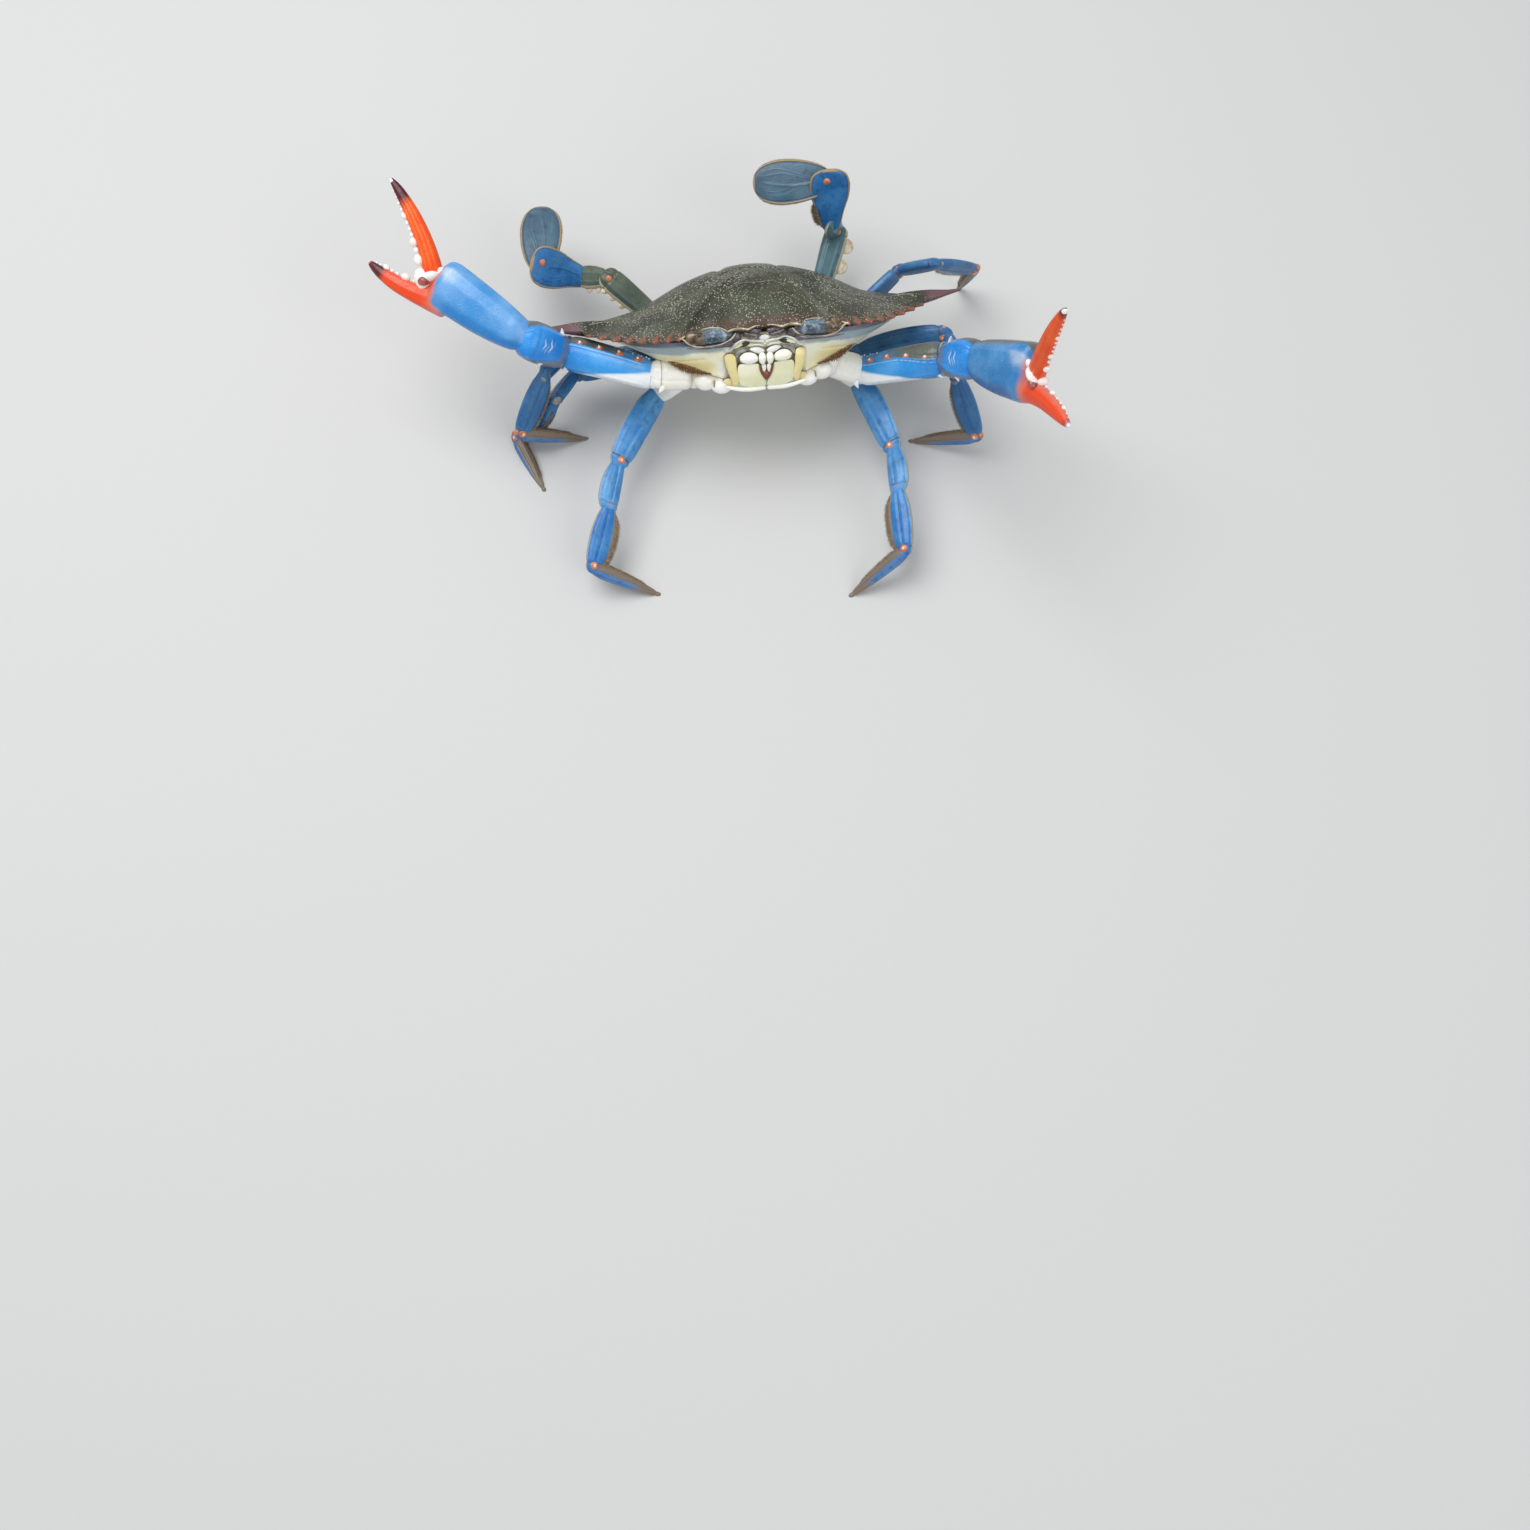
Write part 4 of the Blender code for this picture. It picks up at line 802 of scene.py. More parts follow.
def back_point(edge, base, f, lip):
    """Points of one ring of the back. Past the fraction TEETH_START it runs out to the teeth."""
    inner = BODY_MIDDLE + (base - BODY_MIDDLE) * min(f, TEETH_START)
    w = smooth((f - TEETH_START) / 0.035) if f > TEETH_START else 0.0
    flat = inner * (1 - w) + edge * w
    x = flat[:, 0]
    y = flat[:, 1]
    swollen = DOME_BRIM + (1.0 - DOME_BRIM) * np.exp(-(np.abs(inner[:, 0]) / DOME_WIDTH) ** 5)
    side = swollen * np.clip(1.0 - (inner[:, 0] / 62.0) ** 2, 0.0, 1.0) ** 0.6
    dome = DOME_HEIGHT * max(0.0, 1.0 - min(f, TEETH_START) ** 2.0) ** 0.8 * side
    high = margin_height(inner[:, 0]) + 0.5 + dome
    z = high * (1 - w) + (margin_height(x) + lip) * w
    fade = fall(f, 1.0, 0.12)
    z = z + (regions(x, y) + 0.22 * ridge_lines(x, y)) * fade + spine_swell(x, y) * (1 - w ** 3)
    return np.stack((x, y, z), -1)


def build_carapace():
    """The back with its teeth, and the thin underside of its margin."""
    edge, base, crest = margin_loop(0.40)
    top = np.concatenate((np.linspace(0.0, 0.93, 62), np.linspace(0.94, 1.0, 15)))
    rings = [back_point(edge, base, f, 0.25) for f in top]
    x = edge[:, 0]
    rings.append(np.stack((x, edge[:, 1], margin_height(x) - 0.1), -1))
    for f, drop, lean in ((1.0, -0.45, 1.0), (0.99, -0.75, 0.5), (0.955, -1.0, 0.0)):
        flat = (BODY_MIDDLE + (base - BODY_MIDDLE) * f) * (1 - lean) + edge * lean
        z = margin_height(flat[:, 0]) + drop - spine_swell(flat[:, 0], flat[:, 1]) * (1 - lean)
        rings.append(np.stack((flat[:, 0], flat[:, 1], z), -1))
    flat = BODY_MIDDLE + (base - BODY_MIDDLE) * 0.80
    rings.append(np.stack((flat[:, 0], flat[:, 1], np.full(len(flat), -4.5)), -1))
    grid = np.array(rings)
    px = grid[:, :, 0]
    py = grid[:, :, 1]
    a = np.abs(px)
    ring = np.concatenate((top, np.full(5, 1.0)))[:, None] * np.ones_like(px)
    point = crest[None, :] * np.ones_like(px)
    crests = 0.30 * point ** 3 * rise(ring, 0.90, 0.06) * fall(ring, 1.0, 0.02)
    grid[:, :, 2] += crests * (a > 28)
    front = fall(py, -8.0, 6.0)
    brow = fall(a, 21.0, 8.0) * fall(py, -23.5, 7.0)
    tone = 0.32 * brow + 0.50 * rise(ring, 0.90, 0.09) * front
    spine = rise(a, 57.0, 12.0)
    uneven = 0.55 + 0.45 * np.sin(2.3 * a + 0.7 * np.sign(px)) * np.sin(0.9 * a + 1.3)
    hook = point ** 2.0 * rise(ring, 0.93, 0.05) + 0.75 * uneven * rise(ring, 0.985, 0.01)
    edges = hook * front * (1 - rise(a, 60.0, 5.0)) * rise(a, 27.5, 2.0)
    line = ridge_lines(px, py) * fall(ring, 0.97, 0.02)
    pale = rise(ring, 0.993, 0.006) * (a > 4.3) * fall(a, 14.5, 1.0)
    tips = point ** 6 * rise(ring, 0.985, 0.012) * front * (a > 28) * 0.9
    upper = rise(a, 62.0, 8.0) * smooth((py + 1.6) / 1.2) * 0.7
    piece = Piece("carapace_shell")
    piece.grid(grid_from_body(grid),
               {"tone": tone, "edge": edges, "tip": spine, "line": np.maximum(line, pale), "warm": tips,
                "dusk": upper})
    piece.finish([M["carapace"]], ["carapace"])


# The face and the underside


def mouth_y(z):
    """Front of the mouth plates at a height of the body frame."""
    table = ((-23.0, -29.0), (-20.6, -30.4), (-17.4, -31.6), (-14.0, -32.4), (-10.6, -33.0),
             (-8.2, -32.7), (-5.0, -31.6))
    return np.interp(z, [row[0] for row in table], [row[1] for row in table])


UNDER_AROUND = 480


def build_underbody():
    """The face and belly: one skin from under the margin down to the breast plates."""
    angle = np.linspace(-math.pi, math.pi, UNDER_AROUND + 1)[:-1]
    c = np.cos(angle)
    s = np.sin(angle)
    base = margin_loop(0.8)[1]
    polar = np.arctan2((base[:, 1] + 1.0) / 31.0, base[:, 0] / 61.0)
    order = np.argsort(polar)
    loop = np.stack([np.interp(angle, polar[order], base[order, k], period=2 * math.pi)
                     for k in range(2)], -1)
    rows = []
    flat = BODY_MIDDLE + (loop - BODY_MIDDLE) * 0.80
    rows.append(np.stack((flat[:, 0], flat[:, 1], np.full(UNDER_AROUND, -4.85)), -1))
    over = margin_height(loop[:, 0] * 0.955) - 1.0
    flat = BODY_MIDDLE + (loop - BODY_MIDDLE) * 0.90
    z = over + (0.055 / 0.155) * (-4.5 - over) - 0.55
    rows.append(np.stack((flat[:, 0], flat[:, 1], z), -1))
    # Height, half width, front and rear of the rings below the margin
    sections = ((-6.2, 52.0, -31.8, 26.0), (-10.5, 43.5, -30.6, 25.0), (-15.5, 36.0, -29.0, 23.5),
                (-20.0, 30.5, -27.4, 22.0), (-22.5, 27.0, -26.2, 20.0),
                (-BODY_DEPTH, 23.5, -24.0, 17.5))
    for height, wide, front, rear in sections:
        middle = 0.5 * (front + rear)
        deep = 0.5 * (rear - front)
        x = wide * power(c, 0.86)
        y = middle + deep * power(s, 0.8)
        rows.append(np.stack((x, y, np.full(UNDER_AROUND, height)), -1))
    for shrink in (0.75, 0.4, 0.0):
        last = rows[7]
        mid = np.array((0.0, -3.2, -BODY_DEPTH - 0.1))
        rows.append(mid + (last - mid) * np.array((shrink, shrink, 0.0)))
    rows = np.array(rows)
    at = np.arange(11.0)
    fine = np.concatenate((np.linspace(0, 7, 110), np.linspace(7.1, 10, 14)))
    flat_rows = rows.reshape(len(rows), -1)
    grid = np.stack([np.interp(fine, at, flat_rows[:, k]) for k in range(flat_rows.shape[1])], -1)
    grid = grid.reshape(len(fine), UNDER_AROUND, 3)
    for _ in range(5):
        grid[1:-1] = 0.5 * grid[1:-1] + 0.25 * (grid[:-2] + grid[2:])
    x = grid[:, :, 0]
    y = grid[:, :, 1]
    z = grid[:, :, 2]
    a = np.abs(x)
    front = fall(y, -14.0, 8.0)
    mouth = fall(a, 13.6, 1.6) * fall(z, -7.0, 1.5) * front
    brow = bell(z, -5.6, 0.8) * front * rise(a, 11.0, 2.0) * fall(a, 32.0, 3.0)
    hem_z = -17.9 + 0.30 * np.clip(a - 15.0, 0, 60)
    reach = rise(a, 13.5, 1.5) * fall(a, 40.0, 8.0)
    hem = bell(z, hem_z, 1.0) * front * reach
    under = smooth((hem_z - 0.7 - z) / 1.4) * front * rise(a, 14.0, 2.0)
    push = -0.6 * mouth + 0.55 * brow + 0.5 * hem - 1.0 * under
    push += 0.55 * bell(a, 15.0, 1.2) * front * fall(z, -8.0, 2.0)
    groove_z = -10.3 - 0.12 * (a - 16.0)
    push -= 0.40 * bell(z, groove_z, 0.40) * front * rise(a, 18.0, 4.0)
    push += 0.25 * bell(z, -8.2 - 0.05 * (a - 16.0), 1.2) * front * rise(a, 17.0, 3.0)
    grid[:, :, 1] -= push
    # sky here is only a grey-blue band over the upper face, just below the margin
    sky = smooth((z + 9.3 + 0.03 * (a - 14.0)) / 2.6) * front * rise(a, 12.5, 3.0)
    tone = sky + 0.4 * bell(a, 34.0, 8.0) * front
    yellow = 0.8 * smooth((-10.0 - z + 0.1 * a) / 5.0) * front * rise(a, 12.5, 9.0)
    dark = bell(a, 13.5, 0.25) * front * fall(z, -7.5, 1.5) * 0.7
    dark = np.maximum(dark, 0.6 * bell(z, groove_z, 0.14) * front * rise(a, 18.0, 3.0))
    dark = np.maximum(dark, bell(z, hem_z - 0.8, 0.28) * front * reach)
    olive = rise(a, 40.0, 9.0) * front * 0.8 + rise(y, 6.0, 6.0) * smooth((z + 11.0) / 4.0)
    # Painted shade: darker brown below the hem and over the mouth field, where the skin is set back
    dusk = 0.25 * under + 0.12 * mouth
    mauve = 0.75 * bell(z, -5.0, 0.9) * front * rise(a, 12.0, 3.0) * fall(a, 46.0, 8.0)
    piece = Piece("underbody_shell")
    piece.grid(grid_from_body(grid),
               {"tone": np.clip(tone, 0, 1), "edge": yellow, "line": dark, "tip": np.clip(olive, 0, 1),
                "dusk": np.clip(dusk, 0, 1), "warm": mauve})
    add_breast_plates(piece)
    add_hips(piece)
    piece.finish([M["face"], M["white_plate"], M["ischium"]], ["underbody"])


def add_hips(piece):
    """The white lobes of the claws' coxae and the small plates beside the mouth's lower corners."""
    for s in (-1.0, 1.0):
        def blob(x, y, z, half, s=s, paint=None, material=2):
            ball(piece, from_body((s * x, y, z)), BODY_TURN @ np.diag(half), paint, material, 32)
        blob(15.4, -24.6, -21.5, (4.0, 3.2, 2.9))
        blob(20.8, -23.2, -19.9, (4.2, 3.4, 3.5), paint={"tone": 0.15})
        corner = ((10.6, -19.6), (13.4, -18.4), (15.2, -19.6), (13.4, -21.6), (11.0, -22.2))
        plate(piece, corner, on_mouth(s, -2.0), 1.1, {"tone": 0.9}, 2, 9, 44, 2.0)
        seams = (((17.6, -25.4, -22.8), (18.2, -26.5, -21.2), (18.0, -26.4, -18.8)),
                 ((12.4, -26.4, -22.8), (12.2, -27.3, -21.4), (12.8, -27.2, -19.4)))
        for seam in seams:
            tube(piece, mirrored(s, seam), (0.16, 0.34, 0.16), {"edge": 1.0}, 2, 8)


def plate(piece, outline, place, bulge, paint=None, material=0, rings=9, count=56, sink=1.2,
          shape=2.4, seam=0.9):
    """A pillow-shaped plate over a closed outline. place(u, v, h) gives its body-frame points."""
    ring = spline(outline, count, closed=True)
    middle = ring.mean(0)
    part = np.sin(0.5 * math.pi * np.linspace(0.0, 1.0, rings))
    flat = middle + (ring - middle)[None] * part[:, None, None]
    high = bulge * np.clip(1.0 - part ** shape, 0.0, 1.0) ** 0.5
    flat = np.concatenate((flat, flat[-1:], middle + (flat[-1:] - middle) * 0.9))
    high = np.concatenate((high, [-0.45 * sink, -sink]))
    part = np.concatenate((part, [1.0, 1.0]))
    grid = place(flat[:, :, 0], flat[:, :, 1], high[:, None] * np.ones(count))
    values = {"edge": smooth((part - seam) / (1.0 - seam))[:, None] * np.ones(count)}
    for key, value in (paint or {}).items():
        values[key] = value(flat[:, :, 0], flat[:, :, 1]) if callable(value) else value
    piece.grid(grid_from_body(grid), values, material)


def on_mouth(sign, lift=0.0):
    """Places a plate on the mouth: u across, v up, h out to the front."""
    def place(u, v, h):
        return np.stack((sign * u, mouth_y(v) - h - lift + 0.02 * u * u * 0.4, v), -1)
    return place


def tube(piece, path, radii, paint=None, material=0, around=12, body=True, up=(0, 0, 1), count=40):
    """A smooth rod along a path with a radius at each of its points, with rounded ends."""
    path = np.asarray(path, float)
    rows = np.column_stack((path, np.asarray(radii, float)))
    rows = spline(rows, count)
    radius = rows[:, 3].copy()
    ends = np.minimum(np.linspace(0, count - 1, count), np.linspace(count - 1, 0, count)) / 3.0
    radius *= np.sqrt(np.clip(1.0 - (1.0 - np.clip(ends, 0, 1)) ** 2, 0.0, 1.0))
    middle = rows[:, :3]
    d = unit(np.gradient(middle, axis=0))
    guide = np.asarray(up, float)
    n = unit(guide - d * (d @ guide)[:, None])
    b = np.cross(n, d)
    angle = np.linspace(0, 2 * math.pi, around, endpoint=False)
    grid = (middle[:, None] + radius[:, None, None] * (np.cos(angle)[None, :, None] * b[:, None]
            + np.sin(angle)[None, :, None] * n[:, None]))
    if body:
        grid = grid_from_body(grid)
    t = np.linspace(0, 1, count)[:, None] * np.ones(around)
    values = {key: value(t) if callable(value) else value for key, value in (paint or {}).items()}
    piece.grid(grid, values, material)


def knob(piece, frame_of, place, half, paint=None, material=0, n=20):
    """An ellipsoid on an article: its place and half axes along, across and flat."""
    start, d, across, flat = frame_of[:4]
    centre = start + d * place[0] + across * place[1] + flat * place[2]
    ball(piece, centre, (d * half[0], across * half[1], flat * half[2]), paint, material, n)


def ball(piece, centre, axes, paint=None, material=0, n=16):
    """An ellipsoid from its three half-axis vectors, in world millimetres."""
    theta = np.linspace(0, math.pi, n // 2 + 1)[:, None]
    phi = np.linspace(0, 2 * math.pi, n, endpoint=False)[None, :]
    a, b, c = (np.asarray(v, float) for v in axes)
    grid = (np.asarray(centre, float) + (np.sin(theta) * np.cos(phi))[..., None] * a
            + (np.sin(theta) * np.sin(phi))[..., None] * b
            + (np.cos(theta) * np.ones_like(phi))[..., None] * c)
    piece.grid(grid, paint, material)


def build_mouth(side):
    """The third maxilliped: a broad ischium plate, an oval merus, a palp and the outer strip."""
    s = SIDES[side]
    piece = Piece("maxilliped_" + side + "_plates")
    place = on_mouth(s, 0.1)
    ischium = ((2.6, -13.0), (4.2, -12.6), (6.8, -12.5), (9.4, -12.8), (10.1, -14.5), (9.9, -17.6),
               (9.2, -20.6), (6.2, -21.9), (2.6, -21.9), (0.35, -21.6), (0.30, -19.6), (1.2, -17.8),
               (2.2, -15.4))
    plate(piece, ischium, place, 0.45,
          {"tone": lambda u, v: 0.30 * fall(v, -16.0, 6.0),
           "dusk": lambda u, v: 0.30 * bell(u, 3.9, 0.6) * fall(v, -13.0, 2.0),
           "tip": 0.0}, seam=0.97, shape=3.4)
    merus = ((2.7, -10.6), (3.6, -9.2), (5.6, -8.5), (7.8, -8.8), (9.2, -10.2), (8.7, -11.8),
             (6.6, -12.5), (4.4, -12.4), (3.0, -11.8))
    plate(piece, merus, on_mouth(s, 0.25), 1.05,
          {"dusk": lambda u, v: 0.25 * bell(u, 6.5, 1.8) * bell(v, -9.3, 0.8)},
          1, 11, 64, seam=0.96, shape=2.8)
    exopod = ((10.8, -9.4), (12.4, -8.7), (14.3, -9.6), (14.0, -12.9), (12.7, -17.4), (11.2, -21.1),
              (9.7, -19.8), (10.2, -15.0), (10.4, -11.0))
    plate(piece, exopod, on_mouth(s, -0.1), 0.85, {"tone": 0.85}, seam=0.96)
    palp = ((0.3, -8.3), (1.6, -7.3), (3.6, -6.9), (5.6, -7.5), (4.4, -8.4), (2.9, -9.1), (1.2, -9.3))
    plate(piece, palp, on_mouth(s, 0.35), 0.70, {"tone": 0.2}, 3, 9, 48, seam=0.96)
    # The cheek: an olive-grey plate of painted shade at the merus's upper outer end
    cheek = ((6.2, -7.6), (8.2, -7.4), (10.2, -8.4), (10.6, -10.4), (9.7, -10.3), (8.6, -8.8),
             (7.0, -8.3))
    plate(piece, cheek, on_mouth(s, 0.05), 0.45, {"dusk": 0.4}, 4, 8, 48, seam=0.96)
    second = ((0.2, -9.5), (1.1, -8.7), (2.35, -9.3), (2.65, -10.9), (2.15, -12.6), (1.1, -13.2),
              (0.3, -12.0))
    plate(piece, second, on_mouth(s, 0.75), 1.05, None, 1, 9, 48, seam=0.96)
    third = ((0.2, -13.2), (1.0, -12.8), (1.7, -13.5), (1.6, -15.0), (1.0, -16.3), (0.3, -15.4))
    plate(piece, third, on_mouth(s, 0.35), 0.75, {"tip": 0.3}, 1, 9, 40, seam=0.95)
    crest = [(s * x, mouth_y(z) - 0.35, z) for x, z in
             ((2.4, -12.9), (2.35, -14.4), (1.95, -15.9), (1.4, -17.2), (0.5, -18.7))]
    tube(piece, crest, (0.14, 0.20, 0.24, 0.26, 0.2), {"tip": 0.8}, 2, 10)
    wedge = ((-0.2, -16.2), (1.2, -15.9), (1.1, -17.4), (0.5, -18.9), (-0.2, -19.2))
    plate(piece, wedge, on_mouth(s, 0.25), 0.35, None, 2, 7, 40)
    # The pale lip under the mouth plates
    lip = [(s * x, float(mouth_y(z)) - 0.1 + 0.004 * x * x, z) for x, z in
           ((0.0, -22.4), (3.0, -22.5), (6.4, -22.6), (10.2, -22.1), (14.4, -21.0))]
    tube(piece, lip, (0.85, 0.9, 0.9, 0.8, 0.5), {"tone": 0.15}, 1, 14)
    piece.finish([M["plate"], M["white_plate"], M["socket_red"], M["arch"], M["socket"]],
                 ["maxilliped_" + side])


def build_brow():
    """The epistome, frontal folds, antennules, and plates of painted shade in the hollows beside the
    mouth.
    """
    piece = Piece("epistome_folds")
    for s in (-1.0, 1.0):
        arch = mirrored(s, (
            (0.0, -32.5, -5.7), (1.4, -32.5, -5.1), (3.2, -32.4, -4.9), (5.0, -32.2, -4.7),
            (7.0, -31.9, -4.3), (9.2, -32.0, -4.9), (11.2, -32.0, -6.2), (12.6, -31.8, -7.6)))
        tube(piece, arch, (0.27, 0.34, 0.40, 0.36, 0.30, 0.34, 0.38, 0.24), None, 0, 14, count=60)
        lower = mirrored(s, (
            (0.5, -32.5, -6.9), (1.8, -32.8, -6.3), (3.4, -32.6, -6.1), (5.0, -32.3, -6.4)))
        tube(piece, lower, (0.22, 0.32, 0.32, 0.22), {"dusk": 0.35}, 0, 12)
        cheek = ((10.7, -6.5), (12.2, -5.7), (13.9, -6.6), (14.0, -8.2), (12.2, -8.0))
        plate(piece, cheek, on_mouth(s, 0.1), 0.6, {"dusk": 0.2}, 0, 8, 44, seam=0.96)
        # The opening: a near-black plate of painted shade that stands for the dark inside it
        opening = ((5.2, -5.8), (6.6, -5.4), (8.6, -5.9), (9.6, -6.6), (8.0, -6.9), (6.2, -6.5))
        plate(piece, opening, on_mouth(s, -0.2), 0.15, None, 3, 6, 40)
        # A set-back olive-grey plate of painted shade in the hollow around each opening
        shade = ((4.8, -5.2), (7.4, -4.9), (10.3, -6.3), (10.9, -7.8), (9.6, -9.0), (7.4, -7.6),
                 (5.4, -7.1))
        plate(piece, shade, on_mouth(s, -0.55), 0.35, {"edge": 0.0}, 4, 7, 44, seam=0.99)
    ball(piece, from_body((0.0, -33.1, -6.0)), BODY_TURN @ np.diag((0.4, 0.4, 0.45)), None, 0, 14)
    septum = ((-2.0, -3.9), (0.0, -3.1), (2.0, -3.9), (1.3, -5.2), (0.0, -5.6), (-1.3, -5.2))
    plate(piece, septum, lambda u, v, h: np.stack((u, -31.6 - h, v), -1), 0.6, {"dusk": 0.3}, 0, 8, 44)
    piece.finish([M["arch"], M["mauve"], M["rim"], M["dark"], M["socket"]])

    folds = Piece("antennule_folds")
    for s in (-1.0, 1.0):
        for x0, x1, z, fat in ((0.9, 6.6, -1.9, 0.80), (1.5, 7.6, -3.2, 0.88)):
            path = [(s * (x0 + (x1 - x0) * t), -31.6 - 0.8 * math.sin(math.pi * t),
                     z + 0.45 * math.sin(2.4 * t) + 0.12 * math.sin(17.0 * t))
                    for t in np.linspace(0, 1, 9)]
            radii = [fat * r for r in (0.5, 0.8, 0.95, 1.05, 0.9, 1.0, 0.85, 0.7, 0.4)]
            tube(folds, path, radii, None, 0, 14, count=60)
        wand = mirrored(s, (
            (7.0, -32.4, -1.7), (4.8, -33.1, -2.3), (2.8, -33.1, -3.0), (3.8, -33.4, -4.1)))
        tube(folds, wand, (0.34, 0.30, 0.20, 0.10), None, 2, 8)
        root = ((8.2, -2.4), (10.0, -1.7), (11.8, -2.8), (11.8, -4.8), (9.8, -5.2), (8.2, -4.2))
        plate(folds, root, lambda u, v, h, s=s: np.stack((s * u, -31.0 - h, v), -1), 0.9, None, 0, 9, 48)
    folds.finish([M["mauve"], M["rim"], M["membrane"]])


def edge_path(x_values, height, out):
    """Points along the carapace's front edge at given x."""
    rows = np.array(margin_points())[:40]
    return [(x, float(np.interp(x, rows[:10, 0], rows[:10, 1])) - out, height + float(margin_height(x)))
            for x in x_values]


def build_rims():
    """The beaded rims over and under the orbits and along the wavy front."""
    piece = Piece("orbit_rims")
    for s in (-1.0, 1.0):
        mirror = np.array((s, 1.0, 1.0))
        places = (13.2, 14.6, 16.5, 18.5, 20.8, 23.0, 25.0, 26.8, 28.6, 29.6)
        upper = np.array(edge_path(places, 0.15, 0.0))
        tube(piece, upper * mirror, (0.15, 0.24, 0.26, 0.26, 0.26, 0.26, 0.28, 0.28, 0.25, 0.15),
             None, 0, 10, count=60)
        lower = np.array(((9.8, -31.8, -1.6), (11.6, -31.9, -3.6), (14.0, -31.9, -4.9),
                          (18.4, -31.7, -5.7), (23.0, -31.4, -5.5), (26.4, -31.6, -3.9),
                          (28.4, -32.3, -2.0), (29.6, -33.2, -1.2)))
        tube(piece, lower * mirror, (0.25, 0.34, 0.36, 0.36, 0.36, 0.36, 0.32, 0.2),
             None, 0, 10, count=60)
        wave = np.array(edge_path((1.0, 2.8, 4.6, 6.0, 7.6, 9.3, 11.2, 12.9), 0.05, -0.1))
        tube(piece, wave * mirror, (0.15, 0.24, 0.28, 0.30, 0.28, 0.28, 0.28, 0.2), None, 0, 10, count=60)
    piece.finish([M["rim"]])


def build_eye(side):
    s = SIDES[side]
    piece = Piece("eye_" + side + "_stalk")
    path = mirrored(s, (
        (10.6, -29.6, -2.65), (12.4, -29.8, -2.55), (14.6, -30.0, -2.45), (17.0, -30.1, -2.45),
        (19.4, -30.1, -2.45), (21.6, -30.1, -2.45), (23.6, -30.2, -2.45), (25.4, -30.3, -2.45),
        (26.9, -30.4, -2.45), (27.9, -30.4, -2.45)))
    # The edge paint is a painted highlight near the stalk's inner end
    tube(piece, path, (1.2, 2.0, 2.4, 2.45, 2.5, 2.6, 2.7, 2.5, 1.9, 0.9),
         {"edge": lambda t: 0.8 * bell(t, 0.20, 0.07),
          "tone": lambda t: rise(t, 0.40, 0.38), "dusk": lambda t: 0.6 * rise(t, 0.90, 0.08)},
         0, 48, count=110)
    piece.finish([M["eye"]], ["eye_" + side])


def build_antenna(side):
    s = SIDES[side]
    piece = Piece("antenna_" + side + "_whip")
    path = mirrored(s, (
        (11.6, -31.4, -5.0), (12.6, -33.4, -4.9), (15.0, -34.7, -4.9), (18.6, -35.5, -4.9),
        (23.0, -35.7, -4.8), (27.6, -35.2, -4.5)))
    smooth_path = spline(np.column_stack((path, (1.15, 1.05, 0.62, 0.42, 0.32, 0.16))), 70)
    beat = 1.0 + 0.13 * np.cos(np.arange(70) * 2.1) * (np.arange(70) > 18)
    tube(piece, smooth_path[:, :3], smooth_path[:, 3] * beat,
         {"tone": lambda t: 0.5 * (np.sin(t * 150.0) > 0) * (t > 0.2)}, 0, 12, count=150)
    piece.finish([M["mauve"]], ["antenna_" + side])


def add_breast_plates(piece):
    """Sternites on each side of the apron, one to each limb."""
    rows = ((-17.0, 18.0, 6.5), (-8.5, 20.5, 4.2), (-0.5, 21.0, 4.0), (7.5, 20.0, 3.8))
    for s in (-1.0, 1.0):
        for y, x, half in rows:
            outline = ((x - 9.0, y - half * 0.8), (x, y - half), (x + 5.0, y - half * 0.4),
                       (x + 5.0, y + half * 0.4), (x, y + half * 0.9), (x - 9.0, y + half * 0.8))

            def place(u, v, h, s=s):
                return np.stack((s * u, v, -BODY_DEPTH + 0.2 - h), -1)
            plate(piece, outline, place, 0.9, None, 1, 8, 44)


def build_apron():
    """Six broad segments and the pointed tail of a mature female's abdomen."""
    piece = Piece("apron_plates")
    bottom = -BODY_DEPTH - 1.3
    limits = (20.5, 16.5, 12.5, 8.0, 3.2, -2.4, -6.4, -10.6)
    half = ((10.0, 13.0), (13.0, 15.8), (16.0, 17.6), (17.8, 18.0), (17.8, 15.4), (15.0, 9.5), (4.6, 0.9))
    for k, (wide_rear, wide_front) in enumerate(half):
        y1 = limits[k]
        y0 = limits[k + 1]
        outline = ((0.0, y0), (0.6 * wide_front, y0 + 0.1), (0.97 * wide_front, y0 + 0.5),
                   (wide_rear * 0.5 + wide_front * 0.5, 0.5 * (y0 + y1)),
                   (0.97 * wide_rear, y1 - 0.5), (0.6 * wide_rear, y1), (0.0, y1))
        full = list(outline) + [(-x, y) for x, y in reversed(outline[1:-1])]

        def place(u, v, h):
            return np.stack((u, v, bottom - h + 0.004 * u * u * 0.3), -1)
        plate(piece, full, place, 0.85, {"tone": 0.0}, 0, 8, 96, 1.6, 3.5)
    piece.finish([M["apron"]], ["apron"])


# The limbs


